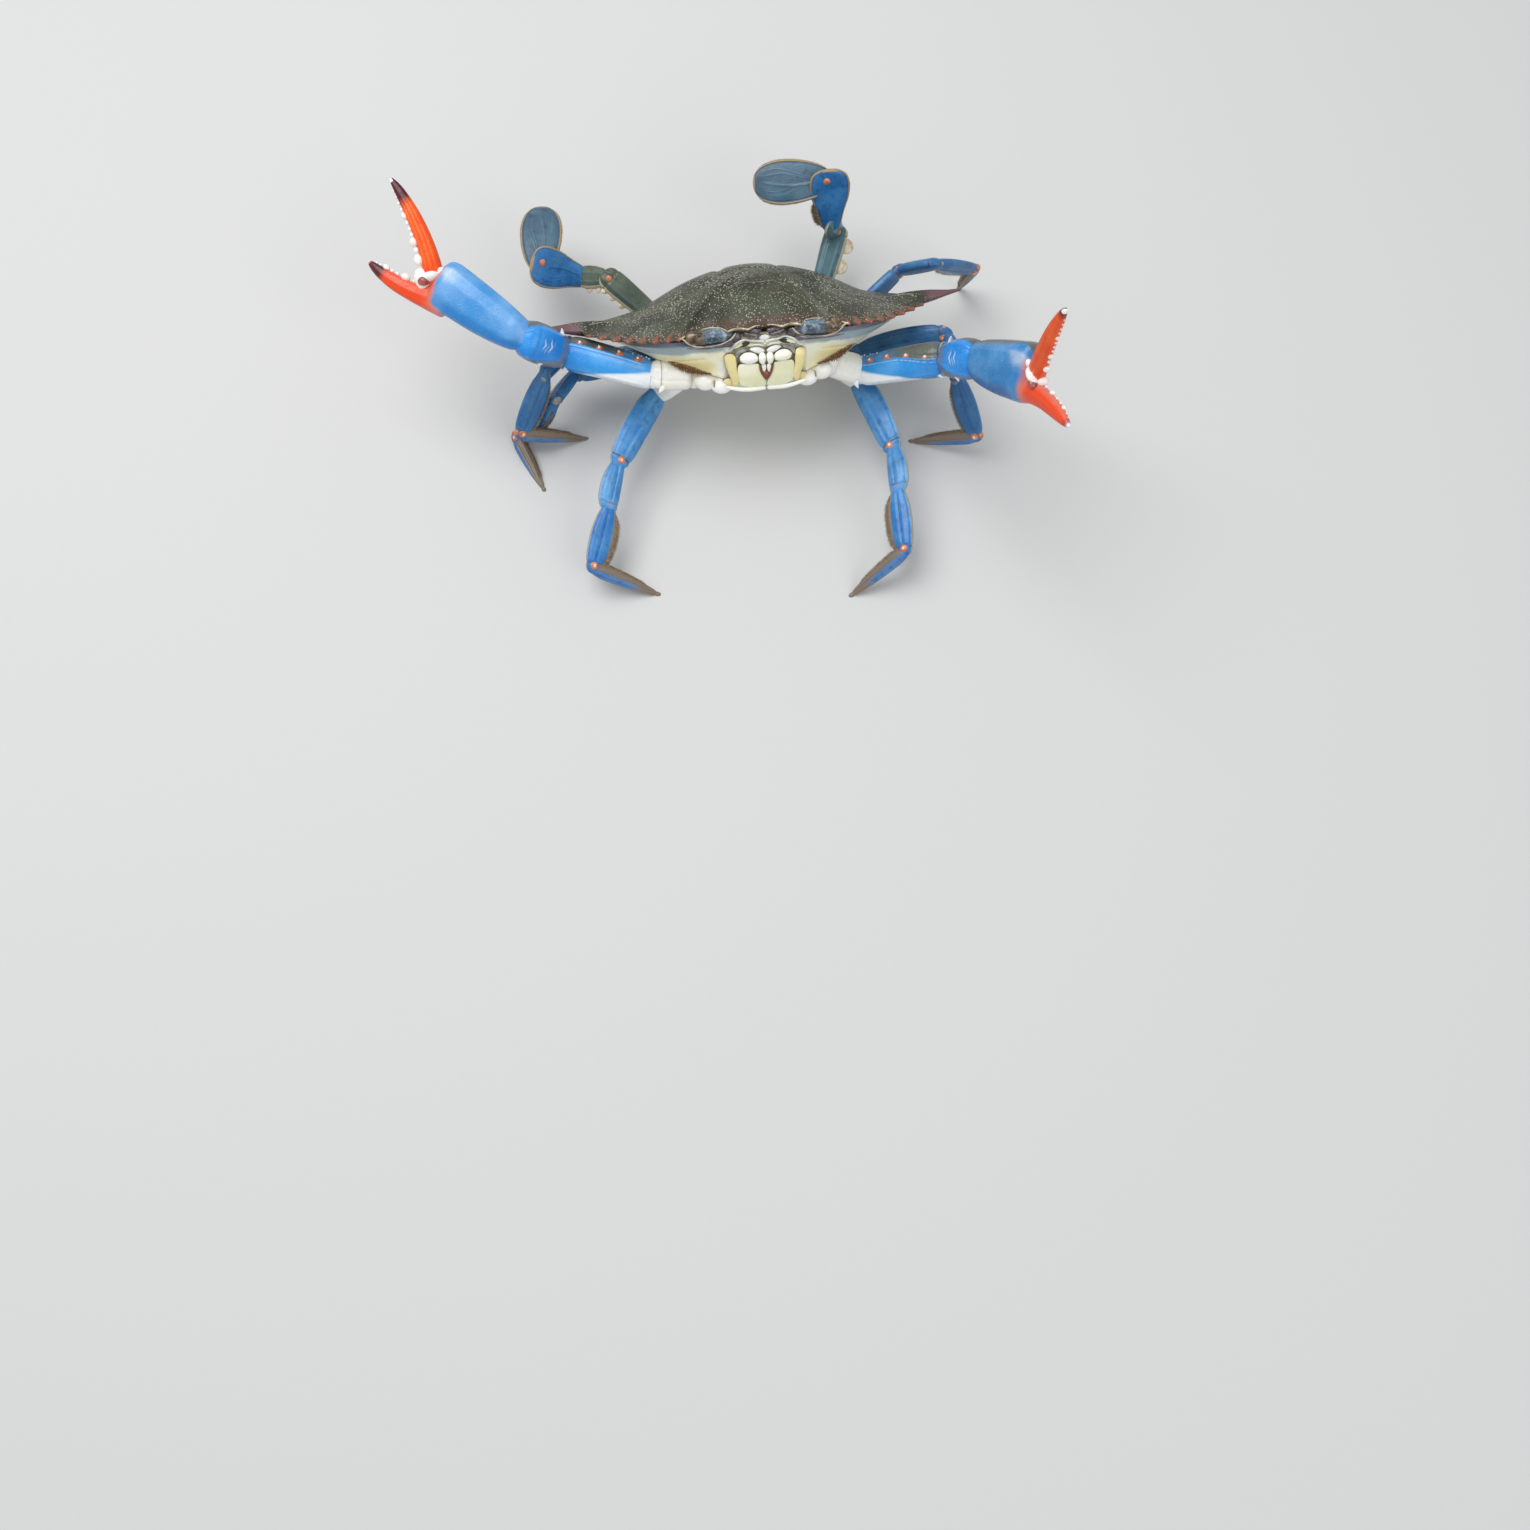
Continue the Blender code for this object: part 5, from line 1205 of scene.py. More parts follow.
def limb_frames(limb, side):
    """Start, forward, across, flat and length of each article, and the end of the last."""
    s = SIDES[side]
    hx, hy, hz = HIPS[limb]
    joint = from_body((s * hx, hy, hz))
    joints = [joint]
    directions = []
    for length, angles in zip(LENGTHS[limb], POSE[limb + "_" + side]):
        if len(angles) == 1:
            drop = -(joint[2] + FLOOR_BITE) / length
            direction = heading(angles[0], math.degrees(math.asin(drop)))
        else:
            direction = heading(*angles)
        joint = joint + length * direction
        joints.append(joint)
        directions.append(direction)
    frames = []
    for i, d in enumerate(directions):
        if limb == "claw" and i == 3:
            hint = heading(*PALM_FACES[side])
        elif limb in FACES:
            hint = heading(*FACES[limb])
        else:
            fold = np.cross(directions[3], directions[4])
            hint = unit(fold) * (1.0 if fold @ heading(*BACK_WAY) > 0 else -1.0)
        flat = unit(hint - d * float(hint @ d))
        across = np.cross(flat, d) * s
        frames.append((joints[i], d, across, flat, LENGTHS[limb][i]))
    return joints, frames


# Rings of each article: where along the length (millimetres, share), outer, inner, half thickness
PROFILES = {
    "leg_ischium": ((-1.5, 0, 3.0, 3.0, 2.5), (2, 0, 3.7, 3.7, 2.9), (-2, 1, 3.9, 3.9, 2.9),
                    (1.2, 1, 3.3, 3.3, 2.5), (2.6, 1, 1.8, 1.8, 1.4)),
    "leg_merus": ((-2, 0, 2.2, 2.2, 1.6), (1.5, 0, 4.0, 3.4, 2.3), (0, 0.25, 5.5, 3.9, 2.6),
                  (0, 0.6, 5.9, 4.0, 2.6), (-4, 1, 4.8, 3.9, 2.5), (0, 1, 3.6, 3.3, 2.2),
                  (2.4, 1, 1.8, 1.8, 1.3)),
    "leg_carpus": ((-1.5, 0, 1.8, 1.8, 1.5), (1.5, 0, 3.2, 2.3, 2.0), (0, 0.45, 4.7, 2.7, 2.2),
                   (-2.5, 1, 4.6, 2.9, 2.1), (0.4, 1, 3.6, 2.8, 1.9), (1.9, 1, 1.7, 1.7, 1.1)),
    "leg_propodus": ((-1.5, 0, 1.7, 1.7, 1.2), (1.5, 0, 2.7, 3.0, 1.7), (0, 0.35, 3.9, 4.7, 1.9),
                     (0, 0.7, 3.8, 4.7, 1.8), (-1.5, 1, 2.9, 3.4, 1.6), (0.9, 1, 2.3, 2.5, 1.3),
                     (1.9, 1, 1.2, 1.2, 0.8)),
    "leg_dactyl": ((-1, 0, 1.3, 1.3, 0.9), (1.5, 0, 2.5, 2.4, 1.4), (0, 0.3, 2.6, 2.6, 1.45),
                   (0, 0.65, 1.9, 1.9, 1.15), (0, 0.88, 1.1, 1.1, 0.8), (0.4, 1, 0.55, 0.55, 0.5)),
    "paddle_ischium": ((-2, 0, 3.0, 3.0, 2.6), (2, 0, 3.9, 3.9, 2.9), (-2, 1, 4.1, 4.1, 2.7),
                       (1.3, 1, 3.4, 3.4, 2.2), (2.6, 1, 1.8, 1.8, 1.3)),
    "paddle_merus": ((-1.5, 0, 2.2, 2.2, 1.6), (1.5, 0, 3.7, 3.5, 2.2), (0, 0.5, 4.6, 4.4, 2.4),
                     (-2, 1, 4.7, 4.5, 2.2), (1, 1, 3.9, 3.8, 1.9), (2.4, 1, 2.0, 2.0, 1.1)),
    "paddle_carpus": ((-1.5, 0, 2.0, 2.0, 1.3), (1.5, 0, 3.2, 3.2, 1.8), (0, 0.5, 4.1, 3.9, 1.9),
                      (-1.5, 1, 4.2, 3.9, 1.8), (0.9, 1, 3.3, 3.2, 1.4), (2.0, 1, 1.7, 1.7, 0.9)),
    "paddle_propodus": ((-2.2, 0, 2.4, 2.4, 0.9), (0.5, 0, 3.8, 3.6, 1.25), (0, 0.28, 5.1, 4.7, 1.4),
                        (0, 0.6, 7.0, 6.5, 1.4), (0, 0.88, 7.5, 6.9, 1.3),
                        (1.2, 1, 6.4, 5.8, 1.1), (3.2, 1, 3.0, 2.8, 0.8)),
    "paddle_dactyl": ((-1, 0, 1.6, 1.6, 0.8), (1.5, 0, 3.8, 3.8, 1.0), (0, 0.2, 5.9, 5.8, 1.1),
                      (0, 0.45, 7.5, 7.3, 1.1), (0, 0.7, 7.6, 7.4, 1.0), (0, 0.88, 6.0, 5.8, 0.85),
                      (0, 0.97, 3.6, 3.6, 0.65), (0, 1, 1.6, 1.6, 0.5)),
    "claw_ischium": ((-2, 0, 4.4, 4.4, 4.0), (2, 0, 5.4, 5.4, 4.8), (-2, 1, 5.7, 5.7, 5.0),
                     (1.5, 1, 4.8, 4.8, 4.2), (3, 1, 2.6, 2.6, 2.2)),
    "claw_merus": ((-2.5, 0, 3.0, 3.0, 2.8), (2, 0, 5.0, 4.8, 4.2), (0, 0.3, 6.3, 5.2, 5.2),
                   (0, 0.65, 7.0, 5.4, 5.7), (-4, 1, 6.9, 5.6, 5.7), (0.5, 1, 5.8, 5.0, 4.8),
                   (3, 1, 3.0, 3.0, 2.5)),
    "claw_carpus": ((-2.5, 0, 3.0, 3.0, 2.8), (1.5, 0, 5.6, 5.4, 4.9), (0, 0.45, 7.0, 6.7, 6.2),
                    (-3, 1, 7.1, 6.8, 6.0), (0.5, 1, 5.9, 5.7, 4.9), (2.8, 1, 3.0, 3.0, 2.4)),
    "claw_propodus": ((-2.5, 0, 3.0, 3.2, 2.6), (1.5, 0, 5.3, 5.8, 4.4), (0, 0.2, 6.3, 7.5, 5.3),
                      (0, 0.45, 7.2, 9.0, 5.9), (0, 0.7, 7.7, 9.7, 6.1), (-3.2, 1, 7.8, 10.0, 5.9),
                      (-1.0, 1, 7.0, 9.4, 5.1), (0.4, 1, 5.0, 7.4, 3.4)),
}


def article_rows(kind, length, count, scale=1.0):
    """Smooth rows of (place along, outer, inner, half thickness), closed round at both ends."""
    rows = [(offset + part * length, outer * scale, inner * scale, thick)
            for offset, part, outer, inner, thick in PROFILES[kind]]
    first = rows[0]
    last = rows[-1]
    rows.insert(0, (first[0] - 0.45 * first[3], 0.0, 0.0, 0.0))
    rows.append((last[0] + 0.45 * last[3], 0.0, 0.0, 0.0))
    made = spline(rows, count)
    made[:, 1:] = np.maximum(made[:, 1:], 0.0)
    return made


def shell(piece, frame_of, kind, relief, paint, rows, around, scale=1.0, corner=0.85):
    """One article of a limb as a dense closed tube, pushed out by its relief."""
    start, d, across, flat, length = frame_of
    table = article_rows(kind, length, rows, scale)
    s, outer, inner, thick = (table[:, k][:, None] for k in range(4))
    angle = np.linspace(0, 2 * math.pi, around, endpoint=False)[None, :]
    c = np.cos(angle)
    n = np.sin(angle)
    wide = np.where(c > 0, outer, inner)
    u = wide * power(c, corner)
    v = thick * power(n, corner)
    along = (s / length) * np.ones_like(c)
    cc = c * np.ones_like(s)
    nn = n * np.ones_like(s)
    if relief is not None:
        push = relief(along, cc, nn) * smooth(thick / 1.2)
        nx = cc / np.maximum(wide, 0.3)
        ny = nn / np.maximum(thick, 0.3)
        size = np.sqrt(nx ** 2 + ny ** 2) + 1e-9
        u = u + push * nx / size
        v = v + push * ny / size
    grid = (start + s[..., None] * d + u[..., None] * across + v[..., None] * flat)
    values = {key: np.clip(value, 0, 1) for key, value in paint(along, cc, nn).items()}
    piece.grid(grid, values)


# No spine runs along this direction, so it can guide the rings of every spine
THORN_GUIDE = (0.31, 0.52, 0.79)


def thorn(piece, root, direction, length, radius, bend, material):
    """A curved tapering spine with its root sunk in the shell."""
    d = unit(direction)
    points = [root - 1.2 * d, root, root + 0.45 * length * d + 0.15 * length * bend,
              root + 0.8 * length * d + 0.5 * length * bend, root + length * d + 0.8 * length * bend]
    tube(piece, points, (radius * 1.1, radius, 0.62 * radius, 0.3 * radius, 0.08 * radius), None,
         material, 10, False, count=18, up=THORN_GUIDE)


def lobe(piece, root, direction, across, flat, size, material):
    """A rounded triangular tooth of a shell edge: size is its height, width and thickness."""
    high, wide, thick = size
    d = unit(direction)
    axes = (d * (0.85 * high), across * wide, flat * thick)
    ball(piece, root + d * (0.25 * high), axes, None, material, 20)


def hair_rows(piece, roots, outs, normals, lengths, widths, spots, curl=0.25):
    """Flat tapered hairs: a quad and a triangle each, with a small patch of the map to each root."""
    n = len(roots)
    side = unit(np.cross(outs, normals))
    tone = RNG.uniform(0.0, 1.0, n)
    lean = RNG.normal(0.0, 0.16, (n, 1)) * side + RNG.normal(0.0, 0.12, (n, 1)) * normals
    d = unit(outs + lean)
    bend = RNG.normal(0.0, 0.5, (n, 1)) * normals + RNG.normal(0, 0.4, (n, 1)) * side
    bend = curl * lengths[:, None] * bend
    w = widths[:, None] * side
    mid = roots + 0.55 * lengths[:, None] * d + 0.4 * bend
    tip = roots + lengths[:, None] * d + bend
    points = np.stack((roots - w, roots + w, mid + 0.7 * w, mid - 0.7 * w, tip), 1)
    index = np.arange(n)[:, None] * 5
    quads = index + np.array((0, 1, 2, 3))
    tris = index + np.array((3, 2, 4))
    tones = np.repeat(tone, 5)
    step = 0.0015
    corner = np.array(((-1, -1), (1, -1), (1, 0.4), (-1, 0.4), (0, 1))) * step
    patch = (spots[:, None, :] * 0.98 + 0.01 + corner[None]).reshape(-1, 2)
    piece.add(points.reshape(-1, 3), quads, tris, {"tone": tones}, 0, patch)


def edge_hairs(piece, frame_of, kind, which, length, spacing, span, rows, island, sweep=0.45,
               spread=0.35):
    """A fringe along one edge of an article, swept toward its tip."""
    start, d, across, flat, size = frame_of
    table = article_rows(kind, size, 80)
    count = int(size * (span[1] - span[0]) / spacing)
    for row in range(rows):
        t = np.linspace(span[0], span[1], count) + RNG.uniform(-0.5, 0.5, count) * spacing / size
        s = t * size
        reach = np.interp(s, table[:, 0], table[:, 1 if which > 0 else 2])
        thick = np.interp(s, table[:, 0], table[:, 3])
        off = (row - 0.5 * (rows - 1)) * spread
        out = which * across
        roots = (start + s[:, None] * d + (reach[:, None] - 0.30 - 0.25 * abs(off)) * out
                 + (off * thick)[:, None] * flat)
        outs = np.tile(unit(out + sweep * d + 0.25 * off * flat), (count, 1))
        normals = np.tile(flat, (count, 1))
        fade = np.sqrt(np.clip(np.minimum(t - span[0], span[1] - t) / 0.12, 0.08, 1.0))
        lengths = length * fade * RNG.uniform(0.75, 1.15, count)
        spots = np.stack((np.clip(t, 0, 1), np.full(count, (island + 0.02 * row) % 1.0)), -1)
        hair_rows(piece, roots, outs, normals, lengths, np.full(count, 0.075), spots)


def build_claw(side):
    """The four articles of a claw and its movable finger, from the hip out."""
    joints, frames = limb_frames("claw", side)

    # The ischium: a white slab with brown seams and a sharp lower corner
    piece = Piece("claw_" + side + "_ischium_shell")

    def slab_relief(t, c, n):
        dents = -0.6 * bell(t, 0.10, 0.05) - 0.6 * bell(t, 0.90, 0.035)
        return dents + 0.35 * bell(c, 0.25, 0.25) * (n > 0) - 0.25 * bell(c, -0.35, 0.10) * (n > 0)

    def slab_paint(t, c, n):
        seam = 0.95 * bell(t, 0.10, 0.03) + bell(t, 0.95, 0.03)
        return {"edge": seam, "tone": 0.25 * smooth((-c - 0.3) / 0.6) + 0.2 * bell(c, 0.8, 0.2)}
    start, d, across, flat, length = frames[0]
    slab = (start + across * 0.9, d, across, flat, length)
    shell(piece, slab, "claw_ischium", slab_relief, slab_paint, rows=60, around=72, scale=0.94)
    base = start - d * 3.0
    ball(piece, base + across * 1.5 + flat * 0.6, (d * 3.6, across * 4.2, flat * 4.6),
         {"tone": 0.1}, 0, 28)
    ball(piece, base - d * 3.4 - across * 0.2, (d * 3.2, across * 4.0, flat * 4.4),
         {"tone": 0.2}, 0, 28)
    thorn(piece, start + d * (length - 1.5) - across * 3.6 + flat * 2.4, -across + d * 0.5 + flat * 0.3,
          2.2, 1.2, d * 0.3, 0)
    knob(piece, frames[0], (length + 0.2, 1.6, 3.6), (1.4, 1.7, 1.2), None, 1, 16)
    piece.finish([M["ischium"], M["white_joint"]], ["claw_" + side + "_ischium"])
    build_arm(side, frames[1])
    build_wrist(side, frames[2])
    build_palm(side, joints, frames)


def build_arm(side, frame_of):
    """The merus of the claw: a white wedge below, blue above it, olive on top with orange domes."""
    start, d, across, flat, length = frame_of
    spots = (0.20, 0.40, 0.61, 0.82)
    high, drop = (0.36, 0.30) if side == "left" else (0.50, 0.0)
    piece = Piece("claw_" + side + "_merus_shell")

    def bound(t):
        return high - drop * rise(t, 0.45, 0.45) + 0.12 * fall(t, 0.2, 0.2)

    def relief(t, c, n):
        face = (n > 0) * rise(t, 0.06, 0.15)
        keel = 0.45 * bell(c, bound(t) + 0.02, 0.09) * face - 0.20 * bell(c, bound(t) + 0.24, 0.10) * face
        low = 0.30 * bell(c, -0.72, 0.12) * face
        collar = 0.30 * bell(t, 0.985, 0.018) - 0.40 * bell(t, 0.945, 0.018) - 0.3 * bell(t, 0.05, 0.03)
        return keel + low + collar

    def paint(t, c, n):
        reach = 0.40 - 1.55 * t
        white = smooth((reach - c) / 0.35) * fall(t, 0.92, 0.25) * smooth((n + 0.5) / 0.4)
        run = rise(t, 0.06, 0.1) * (n > -0.2)
        pale = 0.70 * bell(c, bound(t) - 0.045, 0.022) * run
        ink = 0.85 * bell(c, bound(t) + 0.030, 0.030) * run
        olive = smooth((c - bound(t)) / 0.14) * (0.42 + 0.50 * rise(t, 0.25, 0.4))
        olive = olive + 0.75 * smooth(-n / 0.9) * smooth((c + 0.9) / 0.5)
        warm = sum(0.42 * bell(t, spot, 0.035) * bell(c, bound(t) + 0.14, 0.12) * (n > 0)
                   for spot in spots)
        seam = bell(t, 0.955, 0.012) + 0.7 * bell(t, 0.03, 0.015)
        return {"edge": white + pale + 0.5 * bell(t, 0.985, 0.012), "tip": olive,
                "line": np.maximum(seam, ink), "warm": warm,
                "tone": 0.65 * rise(t, 0.45, 0.5) * fall(c, 0.7, 0.6)}
    shell(piece, frame_of, "claw_merus", relief, paint, rows=120, around=144)
    for k, part in enumerate(spots):
        # A low orange dome with a small white point
        wide = 6.3 if part > 0.3 else 5.6
        lift = 4.3 if part > 0.3 else 3.8
        c = bound(part) + 0.14
        root = start + d * (length * part) + across * (wide * c ** 0.85)
        root = root + flat * (lift * (1 - c * c) ** 0.42)
        out = unit(across * (0.2 + c) + flat * 0.75 + d * 0.15)
        ball(piece, root + out * 0.1, (d * 1.75, unit(np.cross(out, d)) * 1.65, out * 1.45), None, 2, 20)
        thorn(piece, root + out * 1.35, out + across * 0.6 + d * 0.4, (0.5, 0.6, 0.6, 0.5)[k], 0.55,
              d * 0.3 + across * 0.2, 1)
    for k in range(30):
        t = 0.10 + 0.029 * k
        root = start + d * (length * t) + across * (5.5 + 0.4 * math.sin(2.3 * k))
        root = root + flat * (2.4 + 0.3 * math.cos(k))
        ball(piece, root, (d * 0.38, across * 0.36, flat * 0.36), {"edge": 0.6}, 0, 8)
    corner = start + d * (length - 2.6) - across * 4.4 + flat * 2.6
    thorn(piece, corner, -across + d * 0.6, 1.6, 1.0, d * 0.4, 1)
    piece.finish([M["arm"], M["white_joint"], M["dome"]], ["claw_" + side + "_merus"])


# Painted highlights of the wrist, as white streaks: strength, place along and half width, place across
# and half length
WRIST_HIGHLIGHTS = ((0.45, 0.56, 0.020, 0.25, 0.20), (0.85, 0.65, 0.024, 0.12, 0.34),
                 (0.65, 0.73, 0.014, -0.05, 0.26), (0.80, 0.80, 0.022, 0.10, 0.28))


def build_wrist(side, frame_of):
    """The carpus of the claw: saturated blue with pale streaks of painted highlight and a grey-mauve
    lower lobe.
    """
    start, d, across, flat, length = frame_of
    piece = Piece("claw_" + side + "_carpus_shell")

    def lobe_edge(t):
        return -0.30 + 0.95 * (0.42 - t)

    def relief(t, c, n):
        front = n > 0
        ridge = 0.40 * bell(c, 0.70, 0.11) * front + 0.40 * bell(c, lobe_edge(t), 0.12) * front
        ridge = ridge - 0.10 * bell(t, 0.90, 0.025) + 0.10 * bell(t, 0.97, 0.02)
        return ridge + 0.2 * bell(t, 0.02, 0.04)

    def paint(t, c, n):
        front = smooth((n + 0.1) / 0.3)
        wave = t + 0.020 * np.sin(9.0 * c + 1.0) + 0.010 * np.sin(23.0 * c)
        # Painted highlights: white streaks on the front of the wrist
        streaks = sum(amount * bell(wave, at, thin) * bell(c, middle, long)
                      for amount, at, thin, middle, long in WRIST_HIGHLIGHTS)
        rim = 0.15 * bell(t, 0.975, 0.02) + 0.45 * bell(t, 0.03, 0.03)
        olive = 0.85 * rise(c, 0.78, 0.2) + 0.75 * smooth(-n / 0.9)
        lower = smooth((lobe_edge(t) - c) / 0.30)
        around = 0.70 * fall(t, 0.50, 0.24)
        pale = 0.25 * bell(c, lobe_edge(t) + 0.03, 0.03) * front
        return {"edge": streaks * front + rim + pale, "tip": olive, "tone": np.maximum(lower, around),
                "line": 0.15 * bell(t, 0.90, 0.012),
                "warm": 0.20 * lower * bell(t, 0.62, 0.2)}
    shell(piece, frame_of, "claw_carpus", relief, paint, rows=100, around=128)
    root = start + d * (length * 0.32) + across * 5.8 + flat * 2.2
    thorn(piece, root, across + flat * 0.3 + d * 0.35, 2.6, 1.15, d * 0.5, 1)
    root = start + d * (length * 0.62) - across * 5.2 + flat * 2.8
    ball(piece, root, (d * 1.5, across * 1.6, flat * 1.3), None, 1, 20)
    thorn(piece, root - across * 0.8, -across + flat * 0.3 + d * 0.5, 1.7, 0.9, d * 0.4, 1)
    ball(piece, start + d * 0.3 + flat * 4.2 + across * 1.8, (d * 1.0, across * 1.4, flat * 0.8),
         None, 1, 16)
    knob(piece, frame_of, (length + 0.6, 0.0, 0.0), (2.0, 2.8, 2.6), None, 2, 24)
    piece.finish([M["wrist"], M["white_joint"], M["membrane"]],
                 ["claw_" + side + "_carpus"])


FINGER_DARK = {"right": 0.66, "left": 0.80}
FINGER_SIZES = ((2.6, 2.5, 2.3), (3.5, 3.3, 2.8), (3.5, 3.1, 2.8), (3.2, 2.8, 2.6),
                (2.8, 2.4, 2.3), (2.2, 1.9, 1.8), (1.6, 1.3, 1.3), (0.6, 0.6, 0.6))
POLLEX_SIZES = ((5.4, 5.6, 3.6), (4.8, 5.0, 3.6), (3.7, 4.0, 3.2), (3.0, 3.3, 2.7),
                (2.7, 2.9, 2.3), (2.1, 2.3, 1.8), (1.4, 1.6, 1.3), (0.6, 0.6, 0.6))
FINGER_STATIONS = (-0.05, 0.06, 0.22, 0.42, 0.62, 0.8, 0.92, 1.0)


def finger_path(base, frame_of, degrees, leaning, length, bend, bow):
    """Middle line of a finger: opened and leaned by its angles, bent along and bowed."""
    d, across, flat = frame_of
    a = math.radians(degrees)
    lean = math.radians(leaning)
    along = math.cos(lean) * (d * math.cos(a) + across * math.sin(a)) + math.sin(lean) * flat
    inward = d * math.sin(a) - across * math.cos(a)
    return np.array([base + along * (length * t) + inward * (bend * t * t + bow * 4.0 * t * (1.0 - t))
                     for t in FINGER_STATIONS])


def finger_shell(piece, path, flat, side, sizes, cutting, paint, rows=110, around=72):
    """A finger with two long grooves on each face. cutting is the sign of its cutting edge."""
    table = np.column_stack((path, sizes))
    ends = (table[0] - (table[1] - table[0]) * 0.25, table[-1] + (table[-1] - table[-2]) * 0.12)
    ends[0][3:] = 0.0
    ends[1][3:] = 0.0
    table = spline(np.vstack((ends[0], table, ends[1])), rows)
    table[:, 3:] = np.maximum(table[:, 3:], 0.0)
    middle = table[:, :3]
    d = unit(np.gradient(middle, axis=0))
    side_way = unit(np.cross(np.asarray(flat)[None], d) * SIDES[side])
    up = unit(np.cross(d, side_way) * SIDES[side])
    angle = np.linspace(0, 2 * math.pi, around, endpoint=False)[None, :]
    c = np.cos(angle)
    n = np.sin(angle)
    wide = np.where(c > 0, table[:, 3:4], table[:, 4:5])
    thick = table[:, 5:6]
    t = np.linspace(0, 1, rows)[:, None] * np.ones_like(c)
    groove = -0.34 * (bell(c, 0.30 * cutting, 0.12) + 0.8 * bell(c, -0.38 * cutting, 0.12))
    groove = groove * rise(t, 0.08, 0.1) * fall(t, 0.88, 0.25) * smooth(thick / 1.5)
    u = wide * power(c, 0.9)
    v = thick * power(n, 0.9) + groove * np.sign(n)
    grid = middle[:, None] + u[..., None] * side_way[:, None] + v[..., None] * up[:, None]
    cc = c * np.ones_like(t)
    nn = n * np.ones_like(t)
    values = {key: np.clip(value, 0, 1) for key, value in paint(t, cc, nn).items()}
    piece.grid(grid, values)
    return table, d, side_way, up


def finger_paint(cutting, dark):
    """The movable finger: salmon at its root, orange, then maroon from dark on, with an ivory tip."""
    def paint(t, c, n):
        base = fall(t, 0.26, 0.20)
        inner = smooth((c * cutting - 0.50) / 0.35) * fall(t, 0.75, 0.3)
        grooves = bell(c, 0.30 * cutting, 0.10) + 0.7 * bell(c, -0.38 * cutting, 0.10)
        groove = grooves * rise(t, 0.08, 0.15) * fall(t, 0.75, 0.2)
        ivory = rise(t, 0.930, 0.03) * smooth((c * cutting + 0.7) / 0.6)
        return {"tone": 0.55 * base + 0.40 * inner, "line": 0.60 * groove,
                "edge": smooth((t - dark) / 0.20) * 0.95,
                "dusk": 0.8 * fall(t, 0.12, 0.08), "tip": ivory}
    return paint


def pollex_paint(dark):
    """The fixed finger on the palm's own skin: salmon at its root, orange, then maroon."""
    def paint(t, c, n):
        ivory = rise(t, 0.935, 0.03)
        grooves = bell(c, 0.30, 0.10) + 0.6 * bell(c, -0.38, 0.10)
        warm = (0.35 + 0.65 * rise(t, 0.10, 0.40)) * (1.0 - 0.35 * rise(c, 0.5, 0.35))
        # shade: the maroon toward the tip, the finger's own colour, and the grooves darker
        shade = 0.9 * smooth((t - dark - 0.04) / 0.16) + 0.40 * grooves * rise(t, 0.25, 0.2)
        return {"warm": warm * (1.0 - ivory), "dusk": shade * (1.0 - ivory), "edge": ivory}
    return paint


def bead_teeth(piece, run, spots, cutting, size, lift):
    """White bead teeth along the cutting edge: (part of the length, half length, half height)."""
    table, d, side_way, up = run
    t = np.linspace(0, 1, len(table))
    for where, half, high in spots:
        half, high = half * size, high * size
        middle = np.array([np.interp(where, t, table[:, k]) for k in range(3)])
        wide = np.interp(where, t, table[:, 3] if cutting > 0 else table[:, 4])
        thick = np.interp(where, t, table[:, 5])
        k = int(where * (len(table) - 1))
        out = side_way[k] * cutting
        centre = middle + out * (wide + 0.32 * high) + up[k] * (lift * thick)
        ball(piece, centre, (d[k] * half, out * high, up[k] * min(half, 0.75 * thick)), None, 1, 20)


FINGER_BEADS = ((0.18, 2.7, 1.9), (0.325, 1.45, 1.15), (0.405, 0.75, 0.75), (0.465, 1.2, 1.0),
                (0.525, 0.5, 0.55), (0.57, 0.5, 0.5), (0.62, 0.5, 0.5), (0.675, 0.9, 0.7),
                (0.73, 0.4, 0.4), (0.78, 0.45, 0.4), (0.83, 0.35, 0.3), (0.88, 0.3, 0.25))
POLLEX_BEADS = ((0.22, 0.6, 0.5), (0.28, 0.6, 0.55), (0.355, 1.25, 0.95), (0.43, 0.5, 0.5),
                (0.50, 0.7, 0.6), (0.60, 1.2, 0.95), (0.68, 0.5, 0.45), (0.74, 0.5, 0.45),
                (0.80, 0.9, 0.75), (0.86, 0.35, 0.3), (0.90, 0.3, 0.25))


# Long ridges and furrows of the palm: height, place across and half width
PALM_RIDGES = ((0.14, 0.55, 0.12), (-0.06, 0.34, 0.10), (0.10, 0.06, 0.12), (-0.06, -0.22, 0.10),
               (0.12, -0.50, 0.12), (0.16, -0.84, 0.06))


